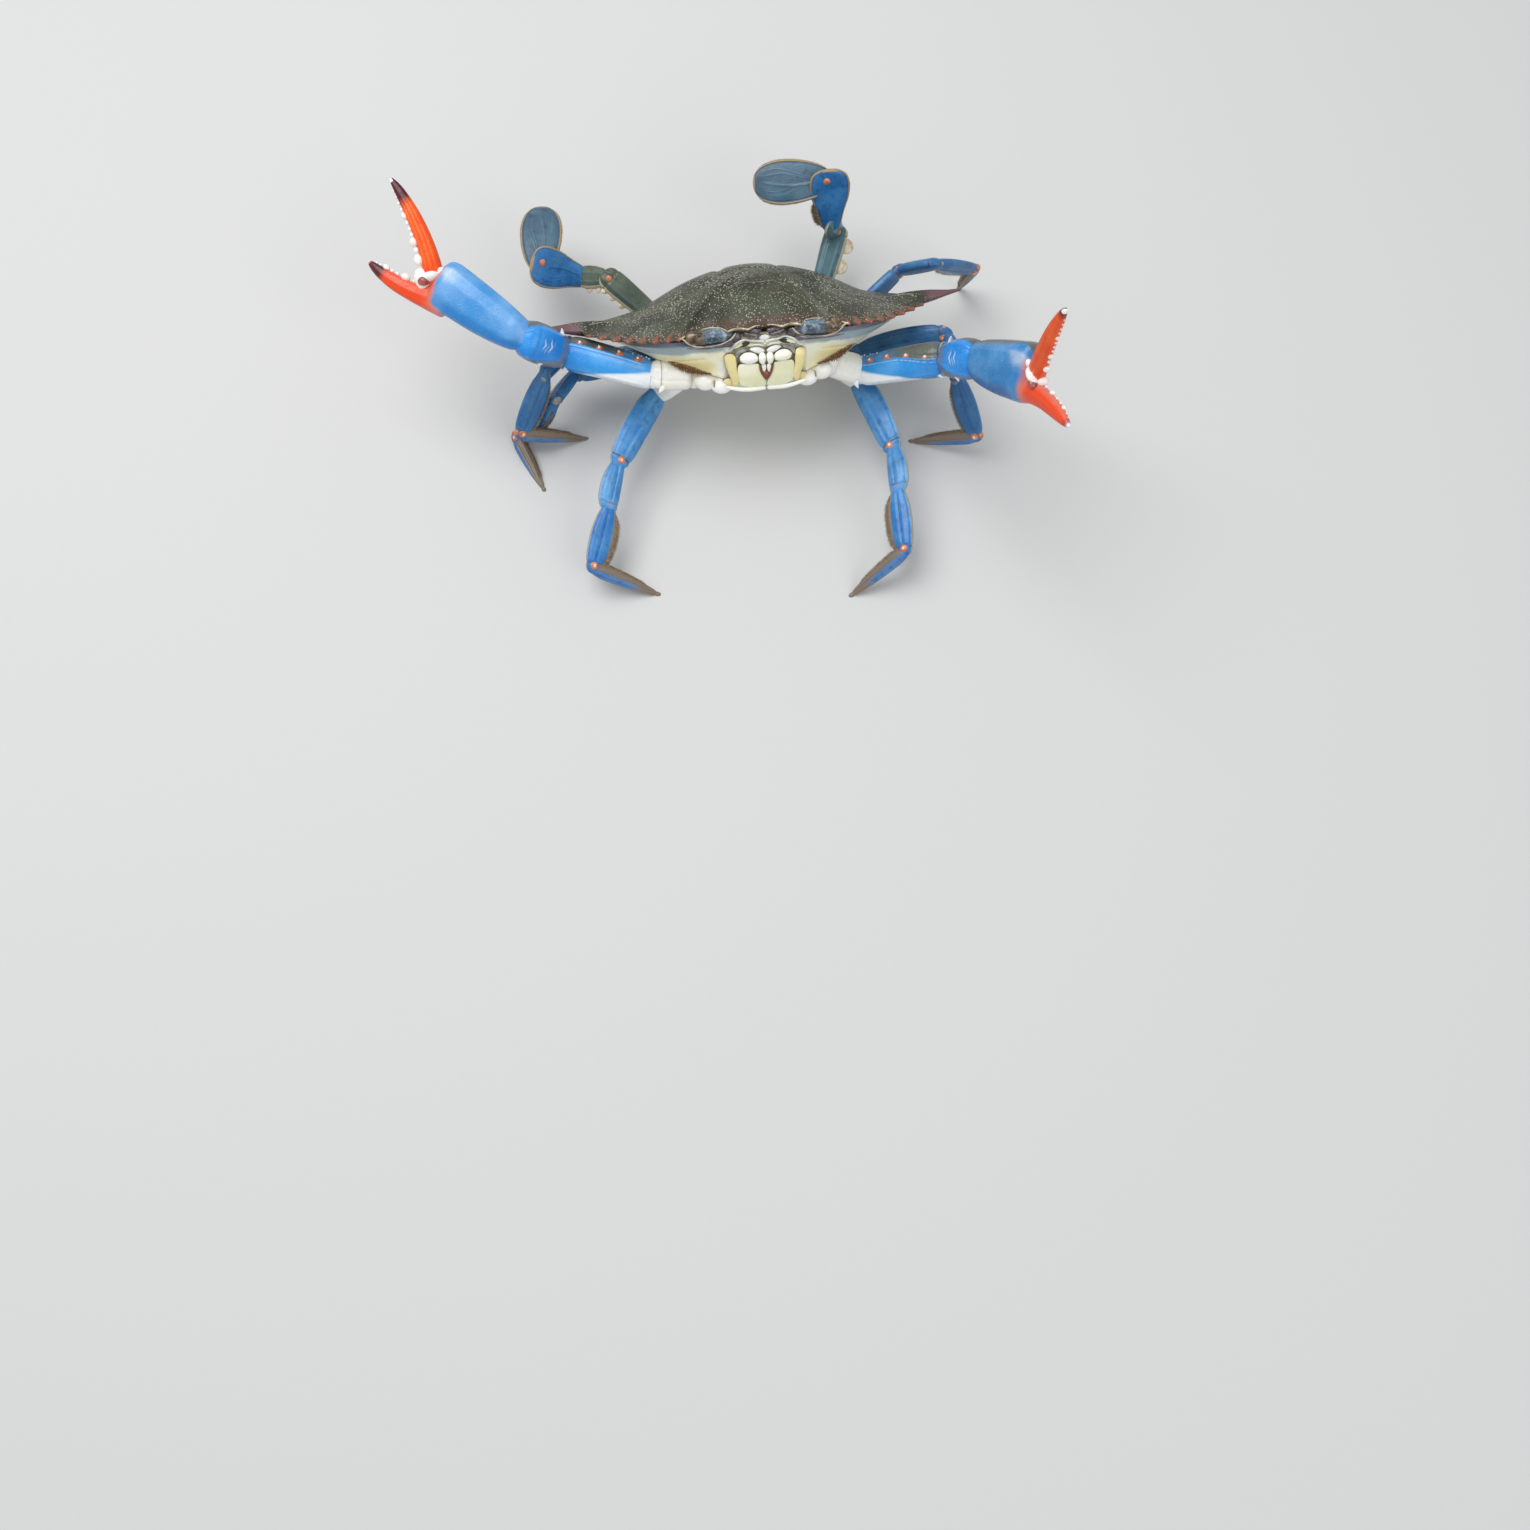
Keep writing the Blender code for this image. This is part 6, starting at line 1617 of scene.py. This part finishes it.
def build_palm(side, joints, frames):
    """The palm fused with its fixed finger, and the movable finger with the skin of its hinge."""
    d, across, flat = frames[3][1:4]
    scale = PALM_SCALE[side]
    end = joints[4]
    hinge = end + d * 1.0 + across * FINGER_BASE[side] * scale
    root = end - d * POLLEX_SINK + across * POLLEX_BASE[side] * scale
    frame_of = (d, across, flat)
    finger = finger_path(hinge, frame_of, FINGER_OPEN[side], FINGER_LEAN[side], FINGER_LENGTH,
                         FINGER_BEND, -FINGER_BOW[side])
    pollex = finger_path(root, frame_of, POLLEX_OPEN[side], POLLEX_LEAN[side],
                         POLLEX_LENGTH + POLLEX_SINK, -FINGER_BEND, POLLEX_BOW[side])

    def relief(t, c, n):
        front = smooth((n + 0.2) / 0.3)
        ridges = sum(amount * bell(c, at, width) for amount, at, width in PALM_RIDGES)
        rows = ridges * rise(t, 0.08, 0.15) * fall(t, 1.02, 0.15)
        bulge = 0.35 * bell(t, 0.12, 0.06) * front * bell(c, 0.1, 0.6)
        crest = 0.4 * bell(c, 0.93, 0.05) * rise(t, 0.1, 0.2)
        return rows + crest - 0.30 * bell(t, 0.02, 0.03) + bulge

    def paint(t, c, n):
        low = smooth((-c - 0.25) / 0.5) * fall(t, 0.95, 0.2)
        pale = 0.50 * rise(t, 0.60, 0.35) * bell(c, 0.30, 0.40) + 0.25 * bell(c, 0.55, 0.06)
        pale = pale * (n > 0)
        olive = 0.75 * smooth(-n / 0.9) + rise(c, 0.84, 0.12) * (1.0 if side == "left" else 0.4)
        if side == "left":
            olive = olive + 0.50 * rise(c, 0.35, 0.5) * fall(t, 0.95, 0.3)
        beads = bell(c, -0.86, 0.04) * (0.5 + 0.5 * np.sin(t * 130.0)) * rise(t, 0.1, 0.1)
        border = 0.915 - 0.05 * smooth((-c - 0.1) / 0.6)
        warm = 0.80 * smooth((t - border) / 0.17) * fall(c, 0.62, 0.3)
        return {"tone": 0.8 * low + 0.35 * fall(t, 0.22, 0.2), "edge": pale, "tip": olive,
                "line": 0.5 * beads, "warm": warm, "dusk": 0.35 * bell(t, 1.0, 0.015)}
    melt = Piece("melt")
    shell(melt, frames[3], "claw_propodus", relief, paint, rows=130, around=128, scale=scale)
    run = finger_shell(melt, pollex, flat, side, POLLEX_SIZES, 1.0, pollex_paint(FINGER_DARK[side]))
    piece = Piece("claw_" + side + "_palm_shell")
    points, quads, values = fused(melt, voxel=0.32, passes=2, blur=14)
    piece.add(points, quads, paint=values)
    size, lift = (0.85, -0.30) if side == "left" else (1.45, 0.32)
    bead_teeth(piece, run, POLLEX_BEADS, 1.0, size, lift)
    # The condyle above the hinge, the white collar and the red skin at the finger's root
    joint = finger[1]
    way = unit(finger[2] - joint)
    side_way = unit(np.cross(flat, way) * SIDES[side])
    for place, half, material, fine in (((0.0, 3.4, 1.8), (1.7, 1.6, 1.4), 2, 20),
                                        ((-0.6, -0.9, 2.2), (1.8, 3.3, 2.2), 2, 28),
                                        ((-1.6, -3.4, 2.4), (1.6, 2.2, 2.0), 3, 28)):
        centre = joint + way * place[0] + side_way * place[1] + flat * place[2]
        ball(piece, centre, (way * half[0], side_way * half[1], flat * half[2]), None, material, fine)
    # The left palm takes the darker copy of the palm finish: painted shade
    piece.finish([M["palm" if side == "right" else "palm_left_painted_shade"], M["tooth"], M["white_joint"],
                  M["socket_red"]], ["claw_" + side + "_palm"])

    piece = Piece("claw_" + side + "_finger_shell")
    run = finger_shell(piece, finger, flat, side, FINGER_SIZES, -1.0,
                       finger_paint(-1.0, FINGER_DARK[side]))
    bead_teeth(piece, run, FINGER_BEADS, -1.0, size, lift)
    piece.finish([M["finger"], M["tooth"]], ["claw_" + side + "_finger"])


def leg_relief(t, c, n):
    """A furrow between two ridges on each face, raised edges and a collar at the end."""
    face = np.abs(n)
    furrow = -0.26 * bell(c, 0.0, 0.06) * rise(face, 0.5, 0.3)
    ridge = 0.14 * (bell(c, 0.24, 0.12) + bell(c, -0.24, 0.12)) * rise(face, 0.4, 0.3)
    rim = 0.16 * smooth((np.abs(c) - 0.90) / 0.05) - 0.16 * bell(np.abs(c), 0.84, 0.04)
    collar = 0.18 * bell(t, 0.985, 0.02) - 0.35 * bell(t, 0.945, 0.018)
    return (furrow + ridge + rim) * rise(t, 0.06, 0.1) * fall(t, 0.97, 0.1) + collar


def leg_paint(kind, flexor, plain, first):
    """Painted marks of a walking leg's article. flexor is the sign of its inner, hairy edge."""
    def paint(t, c, n):
        face = np.abs(n)
        inner = c * flexor
        run = rise(t, 0.12, 0.10) * fall(t, 0.92, 0.08)
        stripe = bell(c, 0.02 * np.sin(19.0 * t), 0.030) * rise(face, 0.5, 0.3) * run
        pale = 0.22 * bell(np.abs(c), 0.13, 0.05) * rise(face, 0.5, 0.3) * run
        rim = (0.85 if first else 0.2) * smooth((-inner - 0.92) / 0.03)
        felt = np.zeros_like(t + c)
        seam = bell(t, 0.952, 0.012) + fall(t, 0.01, 0.04)
        joint = 0.9 * bell(t, 0.985, 0.022) * bell(c, 0.0, 0.42)
        warm = 0.6 * bell(c, -0.45 * flexor, 0.22) * bell(t, 0.45, 0.3)
        if kind in ("carpus", "propodus"):
            reach = 0.955 if first else 1.2
            if kind == "propodus" and first:
                reach = 0.66 + 0.22 * rise(t, 0.4, 0.55)
            felt = smooth((inner - reach) / 0.06)
            pale = np.maximum(pale, 0.8 * bell(inner, reach - 0.02, 0.03))
        if kind == "merus":
            rim = (1.0 if first else 0.2) * smooth((np.abs(c) - 0.93) / 0.03)
            stripe = stripe * (0.1 if plain else 0.7)
            pale = pale * 0.3
        if kind == "dactyl":
            fade = fall(t, 0.80, 0.40)
            felt = np.maximum(smooth((inner + 0.25) / 0.22), 1.0 - fade) * 0.9
            lines = bell(inner, -0.02, 0.04) + bell(inner, 0.42, 0.05) + bell(inner, -0.62, 0.035)
            rim = 0.8 * lines * fall(t, 0.86, 0.12) * rise(t, 0.05, 0.08)
            pale = 0.0 * felt
            stripe = rise(t, 0.80, 0.08)
            joint = 0.0 * felt
            warm = 0.0 * felt
        if kind == "ischium":
            stripe = 0.0 * felt
            pale = 0.0 * felt
            joint = 0.0 * felt
        return {"tone": stripe, "edge": np.maximum(rim, pale), "line": seam, "tip": joint,
                "dusk": np.clip(felt, 0, 1), "warm": warm}
    return paint


VEINS = (-0.52, -0.28, 0.34, 0.56)


def vein_line(k, t):
    """Place across, at t along, of the paddle's side vein that ends at k."""
    return k * smooth(t / 0.8) + 0.04 * np.sin(9.0 * t + 3.0 * k)


def paddle_relief(index):
    """Veins and a curled rim on the two blades, a low ridge on the articles before them."""
    def relief(t, c, n):
        face = smooth((np.abs(n) - 0.3) / 0.3)
        if index < 3:
            return 0.25 * bell(np.abs(c), 0.35, 0.12) * face - 0.3 * bell(t, 0.94, 0.02)
        veins = 0.16 * bell(c, 0.10 * np.sin(4.0 * t) + 0.05, 0.04)
        for k in VEINS:
            veins = veins + 0.08 * bell(c, vein_line(k, t), 0.025)
        curl = 0.22 * smooth((np.abs(c) - 0.91) / 0.03) - 0.16 * bell(np.abs(c), 0.86, 0.03)
        return veins * face * rise(t, 0.1, 0.1) * fall(t, 0.9, 0.1) + curl
    return relief


def paddle_paint(index):
    """Marks of a swimming paddle: a tan rim with a double pale line, veins and faint tints."""
    def paint(t, c, n):
        face = smooth((np.abs(n) - 0.2) / 0.3)
        if index < 3:
            edge = smooth((-c - 0.66) / 0.12) + 0.8 * rise(c, 0.94, 0.03)
            stripe = 0.75 * bell(c, 0.25, 0.05) * face
            stripe = stripe * rise(t, 0.15, 0.1) * fall(t, 0.9, 0.1)
            return {"edge": np.maximum(edge, 0.3 * bell(c, 0.08, 0.05) * face),
                    "line": 0.8 * bell(t, 0.95, 0.015), "tone": stripe,
                    "warm": 0.6 * bell(c, -0.35, 0.25) * bell(t, 0.6, 0.3)}
        width = 0.90
        rim = smooth((np.abs(c) - width) / 0.03)
        end = smooth((t - (0.965 if index == 4 else 1.14)) / 0.03)
        brow = bell(np.abs(c), width - 0.03, 0.014) + bell(t, 0.945, 0.010) * (index == 4)
        veins = bell(c, 0.10 * np.sin(4.0 * t) + 0.05, 0.014)
        for k in VEINS:
            veins = veins + 0.6 * bell(c, vein_line(k, t), 0.010)
        veins = veins * face * rise(t, 0.12, 0.1) * fall(t, 0.90, 0.1)
        tone = 0.45 * bell(c, -0.50, 0.22) * fall(t, 0.8, 0.5)
        return {"dusk": np.clip(np.maximum(rim, end), 0, 1), "tone": tone,
                "edge": 0.50 * np.maximum(veins, 0.0), "line": 0.75 * brow,
                "warm": 0.75 * bell(c, 0.45, 0.2) * bell(t, 0.65, 0.18)}
    return paint


def leg_fringes(index, first):
    """Hair fringes of a leg's article: edge, length, spacing, span, rows, place on the map, sweep
    and spread. The edge is 1 or -1: inner or outer, and on the merus one side or the other."""
    if index == 1 and first:
        return ((1.0, 0.5, 0.22, (0.15, 0.95), 2, 0.7, 0.45, 0.35),
                (-1.0, 0.5, 0.22, (0.15, 0.95), 2, 0.8, 0.45, 0.35))
    if index == 2 and first:
        return ((1.0, 0.7, 0.12, (0.10, 0.97), 3, 0.2, 0.45, 0.35),
                (-1.0, 0.5, 0.16, (0.10, 0.97), 2, 0.5, 0.45, 0.35))
    if index == 3:
        return ((1.0, 2.3 if first else 1.2, 0.085, (0.10, 0.97), 5, 0.1 * index, 0.45, 0.3),
                (-1.0, 0.6, 0.16, (0.10, 0.97), 2, 0.1 * index + 0.3, 0.45, 0.35))
    if index == 4:
        return ((1.0, 1.2, 0.10, (0.04, 0.80), 5, 0.1, 0.9, 0.35),
                (-1.0, 0.6, 0.12, (0.30, 0.80), 3, 0.5, 0.9, 0.35))
    return ()


def build_leg(limb, side, material):
    """The five articles of a walking leg, the knobs of its joints and its hair fringes."""
    joints, frames = limb_frames(limb, side)
    tip_way = joints[5] - joints[4]
    first = limb == "leg_1"
    hairs = Piece(limb + "_" + side + "_fringe")
    for index, article in enumerate(ARTICLES):
        kind = "leg_" + article
        piece = Piece(limb + "_" + side + "_" + article + "_shell")
        start, d, across, flat, length = frames[index]
        flexor = 1.0 if float(across @ tip_way) > 0 else -1.0
        if index == 4:
            flexor = 1.0 if float(across @ frames[3][1]) < 0 else -1.0
        mat = M["ischium"] if index == 0 and first else M[material]
        if index == 4:
            mat = M["dactyl"]
        if index == 3 and first:
            mat = M["leg_panel"]
        plain = first and side == "right"
        shell(piece, frames[index], kind, leg_relief if index else None,
              leg_paint(article, flexor, plain, first), rows=90, around=104)
        if index == 0:
            knob(piece, frames[index], (-2.5, 0.0, 0.0), (3.4, 3.5, 3.2), {"edge": 0.3}, 0, 24)
        if index in (1, 3):
            # The joint's condyle on each face: orange, with a pale middle ball that is a painted
            # highlight
            thick = 1.9 if index == 1 else 1.25
            for way in (1.0, -1.0):
                spot = start + d * (length - 0.6) + flat * way * thick
                ball(piece, spot, (d * 1.45, across * 1.55, flat * 0.75), None, 1, 20)
                ball(piece, spot + flat * way * 0.33, (d * 0.85, across * 0.8, flat * 0.5), None, 2)
            if not first:
                # The folded legs show one more knob on the edge that is turned up
                upper = across * math.copysign(1.0, float(across[2]))
                spot = start + d * (length - 0.4) + upper * (2.9 if index == 1 else 2.0)
                ball(piece, spot, (d * 1.35, across * 0.9, flat * 1.35), None, 1, 20)
        if index in (1, 2):
            # The soft skin of the bend
            knob(piece, frames[index], (length + 0.4, flexor, 0.0), (2.2, 2.1, 1.5), None, 3)
        if index == 4:
            cut_to_floor(piece)
        piece.finish([mat, M["joint"], M["joint_painted_highlight"], M["membrane"]],
                     [limb + "_" + side + "_" + article])
        for edge, *fringe in leg_fringes(index, first):
            edge_hairs(hairs, frames[index], kind, edge if index == 1 else edge * flexor, *fringe)
    cut_to_floor(hairs)
    hairs.finish([M["hair"]], uv=True, merge=False)


FOOT_HEIGHT = 0.02


def cut_to_floor(piece):
    """The foot's points under the floor are set level on it."""
    for points in piece.points:
        points[:, 2] = np.maximum(points[:, 2], FOOT_HEIGHT)


def build_paddle(side):
    """The five articles of a swimming paddle, its joint knobs, scales and hair fringes."""
    frames = limb_frames("paddle", side)[1]
    hairs = Piece("paddle_" + side + "_fringe")
    for index, article in enumerate(ARTICLES):
        kind = "paddle_" + article
        piece = Piece("paddle_" + side + "_" + article + "_shell")
        start, d, across, flat, length = frames[index]
        wide = index > 2
        mat = M["paddle"] if wide else M["paddle_arm" if side == "left" else "paddle_arm_olive"]
        if index == 3:
            mat = M["paddle_blade"]
        frame_of = frames[index]
        if index == 4:
            frame_of = (start - flat * (PADDLE_LAP + 0.5), d, across, flat, length)
        shell(piece, frame_of, kind, paddle_relief(index), paddle_paint(index),
              rows=120 if wide else 80, around=220 if wide else 96, corner=0.8 if wide else 0.85)
        if index == 0:
            knob(piece, frames[index], (-2.5, 0.0, 0.0), (3.4, 3.6, 3.2), None, 0, 24)
        if index in (1, 3):
            shift = 1.4 if index == 3 else 0.0
            for way in (1.0, -1.0):
                thick = 1.0 if index == 3 else 1.7
                if side == "left" and index == 1 and way > 0:
                    thick = 3.2
                knob(piece, frames[index], (length - 0.6, shift, way * thick), (1.35, 1.3, 0.8), None, 1)
        if index in (1, 2):
            # Rounded scales on the left paddle, thorn-like scallops on the right one
            base = 3.4 if index == 1 else 3.1
            if side == "left":
                spots = (0.45, 0.80) if index == 1 else (0.62,)
                size = (3.9, 2.9, 0.5)
            else:
                spots = (0.30, 0.50, 0.70, 0.88) if index == 1 else (0.30, 0.65)
                size = (2.6, 1.2, 0.5)
            for part in spots:
                root = start + d * (length * part) - across * base
                out = unit(-across + (0.1 if side == "left" else 0.6) * d)
                lobe(piece, root, out, unit(np.cross(out, flat)), flat, size, 2)
        piece.finish([mat, M["joint"], M["rim"]], ["paddle_" + side + "_" + article])
        if index in (2, 3, 4):
            size = (0, 0, 0.6, 0.7, 0.8)[index]
            for way in (1.0, -1.0):
                edge_hairs(hairs, frame_of, kind, way, size, 0.10, (0.03, 0.985), 3,
                           0.1 * index + 0.04 * way + 0.1, sweep=0.3)
        if index == 3 and side == "left":
            edge_hairs(hairs, frame_of, kind, 1.0, 2.8, 0.06, (-0.02, 0.45), 6, 0.9, sweep=-0.1)
    hairs.finish([M["hair"]], uv=True, merge=False)


def build_face_hairs():
    """Orange-brown bristles under the cheeks and between the mouth plates, each lighter or darker at
    random.
    """
    piece = Piece("face_bristles")

    def fade_of(a):
        return np.clip(np.minimum(a - 18.5, 35.5 - a) / 7.0, 0.05, 1.0)
    for s in (-1.0, 1.0):
        for row in range(8):
            count = 120
            a = np.linspace(19.0, 35.0, count) + RNG.uniform(-0.12, 0.12, count)
            z = -17.6 + 0.30 * (a - 15.0) + (0.9 - 0.34 * row) * fade_of(a) + RNG.normal(0.0, 0.15, count)
            y = np.interp(a, (13, 20, 26, 32, 38, 44), (-28.6, -27.6, -25.6, -22.4, -17.6, -11.4)) - 0.1
            roots = from_body(np.stack((s * a, y + 0.22 * row, z), -1))
            outs = np.tile(unit(BODY_TURN @ np.array((0.25 * s, -0.6, -0.8))), (count, 1))
            outs = unit(outs + RNG.normal(0, 0.22, (count, 3)))
            normals = np.tile(BODY_TURN @ np.array((0.0, -0.5, 0.8)), (count, 1))
            lengths = RNG.uniform(0.9, 1.7, count) * fade_of(a) ** 0.7
            island = 0.08 + 0.03 * row + (0.5 if s > 0 else 0.0)
            spots = np.stack(((a - 15.0) / 18.0, np.full(count, island)), -1)
            hair_rows(piece, roots, outs, normals, lengths, np.full(count, 0.075), spots, 0.4)
        for row in range(3):
            count = 110
            z = np.linspace(-13.4, -18.4, count)
            x = 2.3 - 1.8 * (-13.4 - z) / 5.0 + RNG.uniform(-0.2, 0.2, count) + 0.15 * row
            roots = from_body(np.stack((s * x, mouth_y(z) - 0.5, z), -1))
            outs = np.tile((-0.9 * s, -0.35, -0.6), (count, 1)) + RNG.normal(0, 0.15, (count, 3))
            outs = unit(outs) @ BODY_TURN.T
            normals = np.tile(BODY_TURN @ np.array((0.0, -1.0, 0.1)), (count, 1))
            island = (0.4 if s > 0 else 0.9) + 0.02 * row
            spots = np.stack(((-12.8 - z) / 9.0, np.full(count, island)), -1)
            lengths = RNG.uniform(0.5, 1.1, count)
            hair_rows(piece, roots, outs, normals, lengths, np.full(count, 0.06), spots)
    piece.finish([M["mouth_hair"]], uv=True, merge=False)


def build_crab():
    build_carapace()
    build_underbody()
    build_apron()
    build_brow()
    build_rims()
    build_face_hairs()
    for side in SIDES:
        build_mouth(side)
        build_eye(side)
        build_antenna(side)
        build_claw(side)
        build_leg("leg_1", side, "leg")
        build_leg("leg_2", side, "leg_shade")
        build_leg("leg_3", side, "leg_shade")
        build_paddle(side)


# The floor, the light and the camera

CAMERA_PLACE = (-12.57, -305.78, 526.7)
CAMERA_AZIMUTH = -7.2
CAMERA_DOWN = 72.5
CAMERA_ROLL = 1.0
FOCAL_PIXELS = 1550.0
PHOTO_PIXELS = 1530.0
SENSOR = 36.0
LAMP_TARGET = (0.0, 0.0, 0.04)


def build_stage():
    """A grey floor, a soft sky and two square lamps."""
    half = 2.0
    corners = [(-half, -half, 0), (half, -half, 0), (half, half, 0), (-half, half, 0)]
    mesh = bpy.data.meshes.new("floor")
    mesh.from_pydata(corners, [], [(0, 1, 2, 3)])
    floor = bpy.data.objects.new("floor", mesh)
    bpy.context.scene.collection.objects.link(floor)
    n = Finish("floor_finish")
    mesh.materials.append(n.close((0.60, 0.60, 0.59, 1.0), (0.75, 0.85), 0.0))
    floor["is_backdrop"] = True

    world = bpy.data.worlds.new("studio")
    world.use_nodes = True
    sky = world.node_tree.nodes["Background"].inputs
    sky["Color"].default_value = (0.95, 0.97, 1.0, 1.0)
    sky["Strength"].default_value = 0.55
    bpy.context.scene.world = world
    for name, place, size, energy in (("key", (-0.35, 0.25, 1.1), 0.9, 10.5),
                                      ("fill", (0.7, -0.9, 0.9), 0.8, 4.0)):
        light = bpy.data.lights.new(name, "AREA")
        light.shape = "SQUARE"
        light.size = size
        light.energy = energy
        ob = bpy.data.objects.new(name, light)
        ob.location = place
        way = Vector(LAMP_TARGET) - Vector(place)
        ob.rotation_euler = way.to_track_quat("-Z", "Y").to_euler()
        bpy.context.scene.collection.objects.link(ob)
    bpy.context.scene.view_settings.view_transform = "Standard"


def build_camera():
    """The photo's camera: its place in millimetres, its angles and its focal length in pixels."""
    azimuth = math.radians(CAMERA_AZIMUTH)
    down = math.radians(CAMERA_DOWN)
    roll = math.radians(CAMERA_ROLL)
    level = math.cos(down)
    forward = Vector((-math.sin(azimuth) * level, math.cos(azimuth) * level, -math.sin(down)))
    right = Vector((math.cos(azimuth), math.sin(azimuth), 0.0))
    up = right.cross(forward)
    rolled = right * math.cos(roll) + up * math.sin(roll)
    up = up * math.cos(roll) - right * math.sin(roll)
    data = bpy.data.cameras.new("camera")
    data.sensor_fit = "AUTO"
    data.sensor_width = SENSOR
    data.lens = SENSOR * FOCAL_PIXELS / PHOTO_PIXELS
    data.clip_start = 0.01
    camera = bpy.data.objects.new("camera", data)
    turned = Matrix((rolled, up, -forward)).transposed()
    camera.matrix_world = Matrix.Translation(Vector(CAMERA_PLACE) * MM) @ turned.to_4x4()
    bpy.context.scene.collection.objects.link(camera)
    bpy.context.scene.camera = camera


build_crab()
build_stage()
build_camera()


def plain(box):
    return [[round(float(c), 6) for c in corner] for corner in box]


{"cad": plain(CAD_BOX), "visual": plain(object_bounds())}
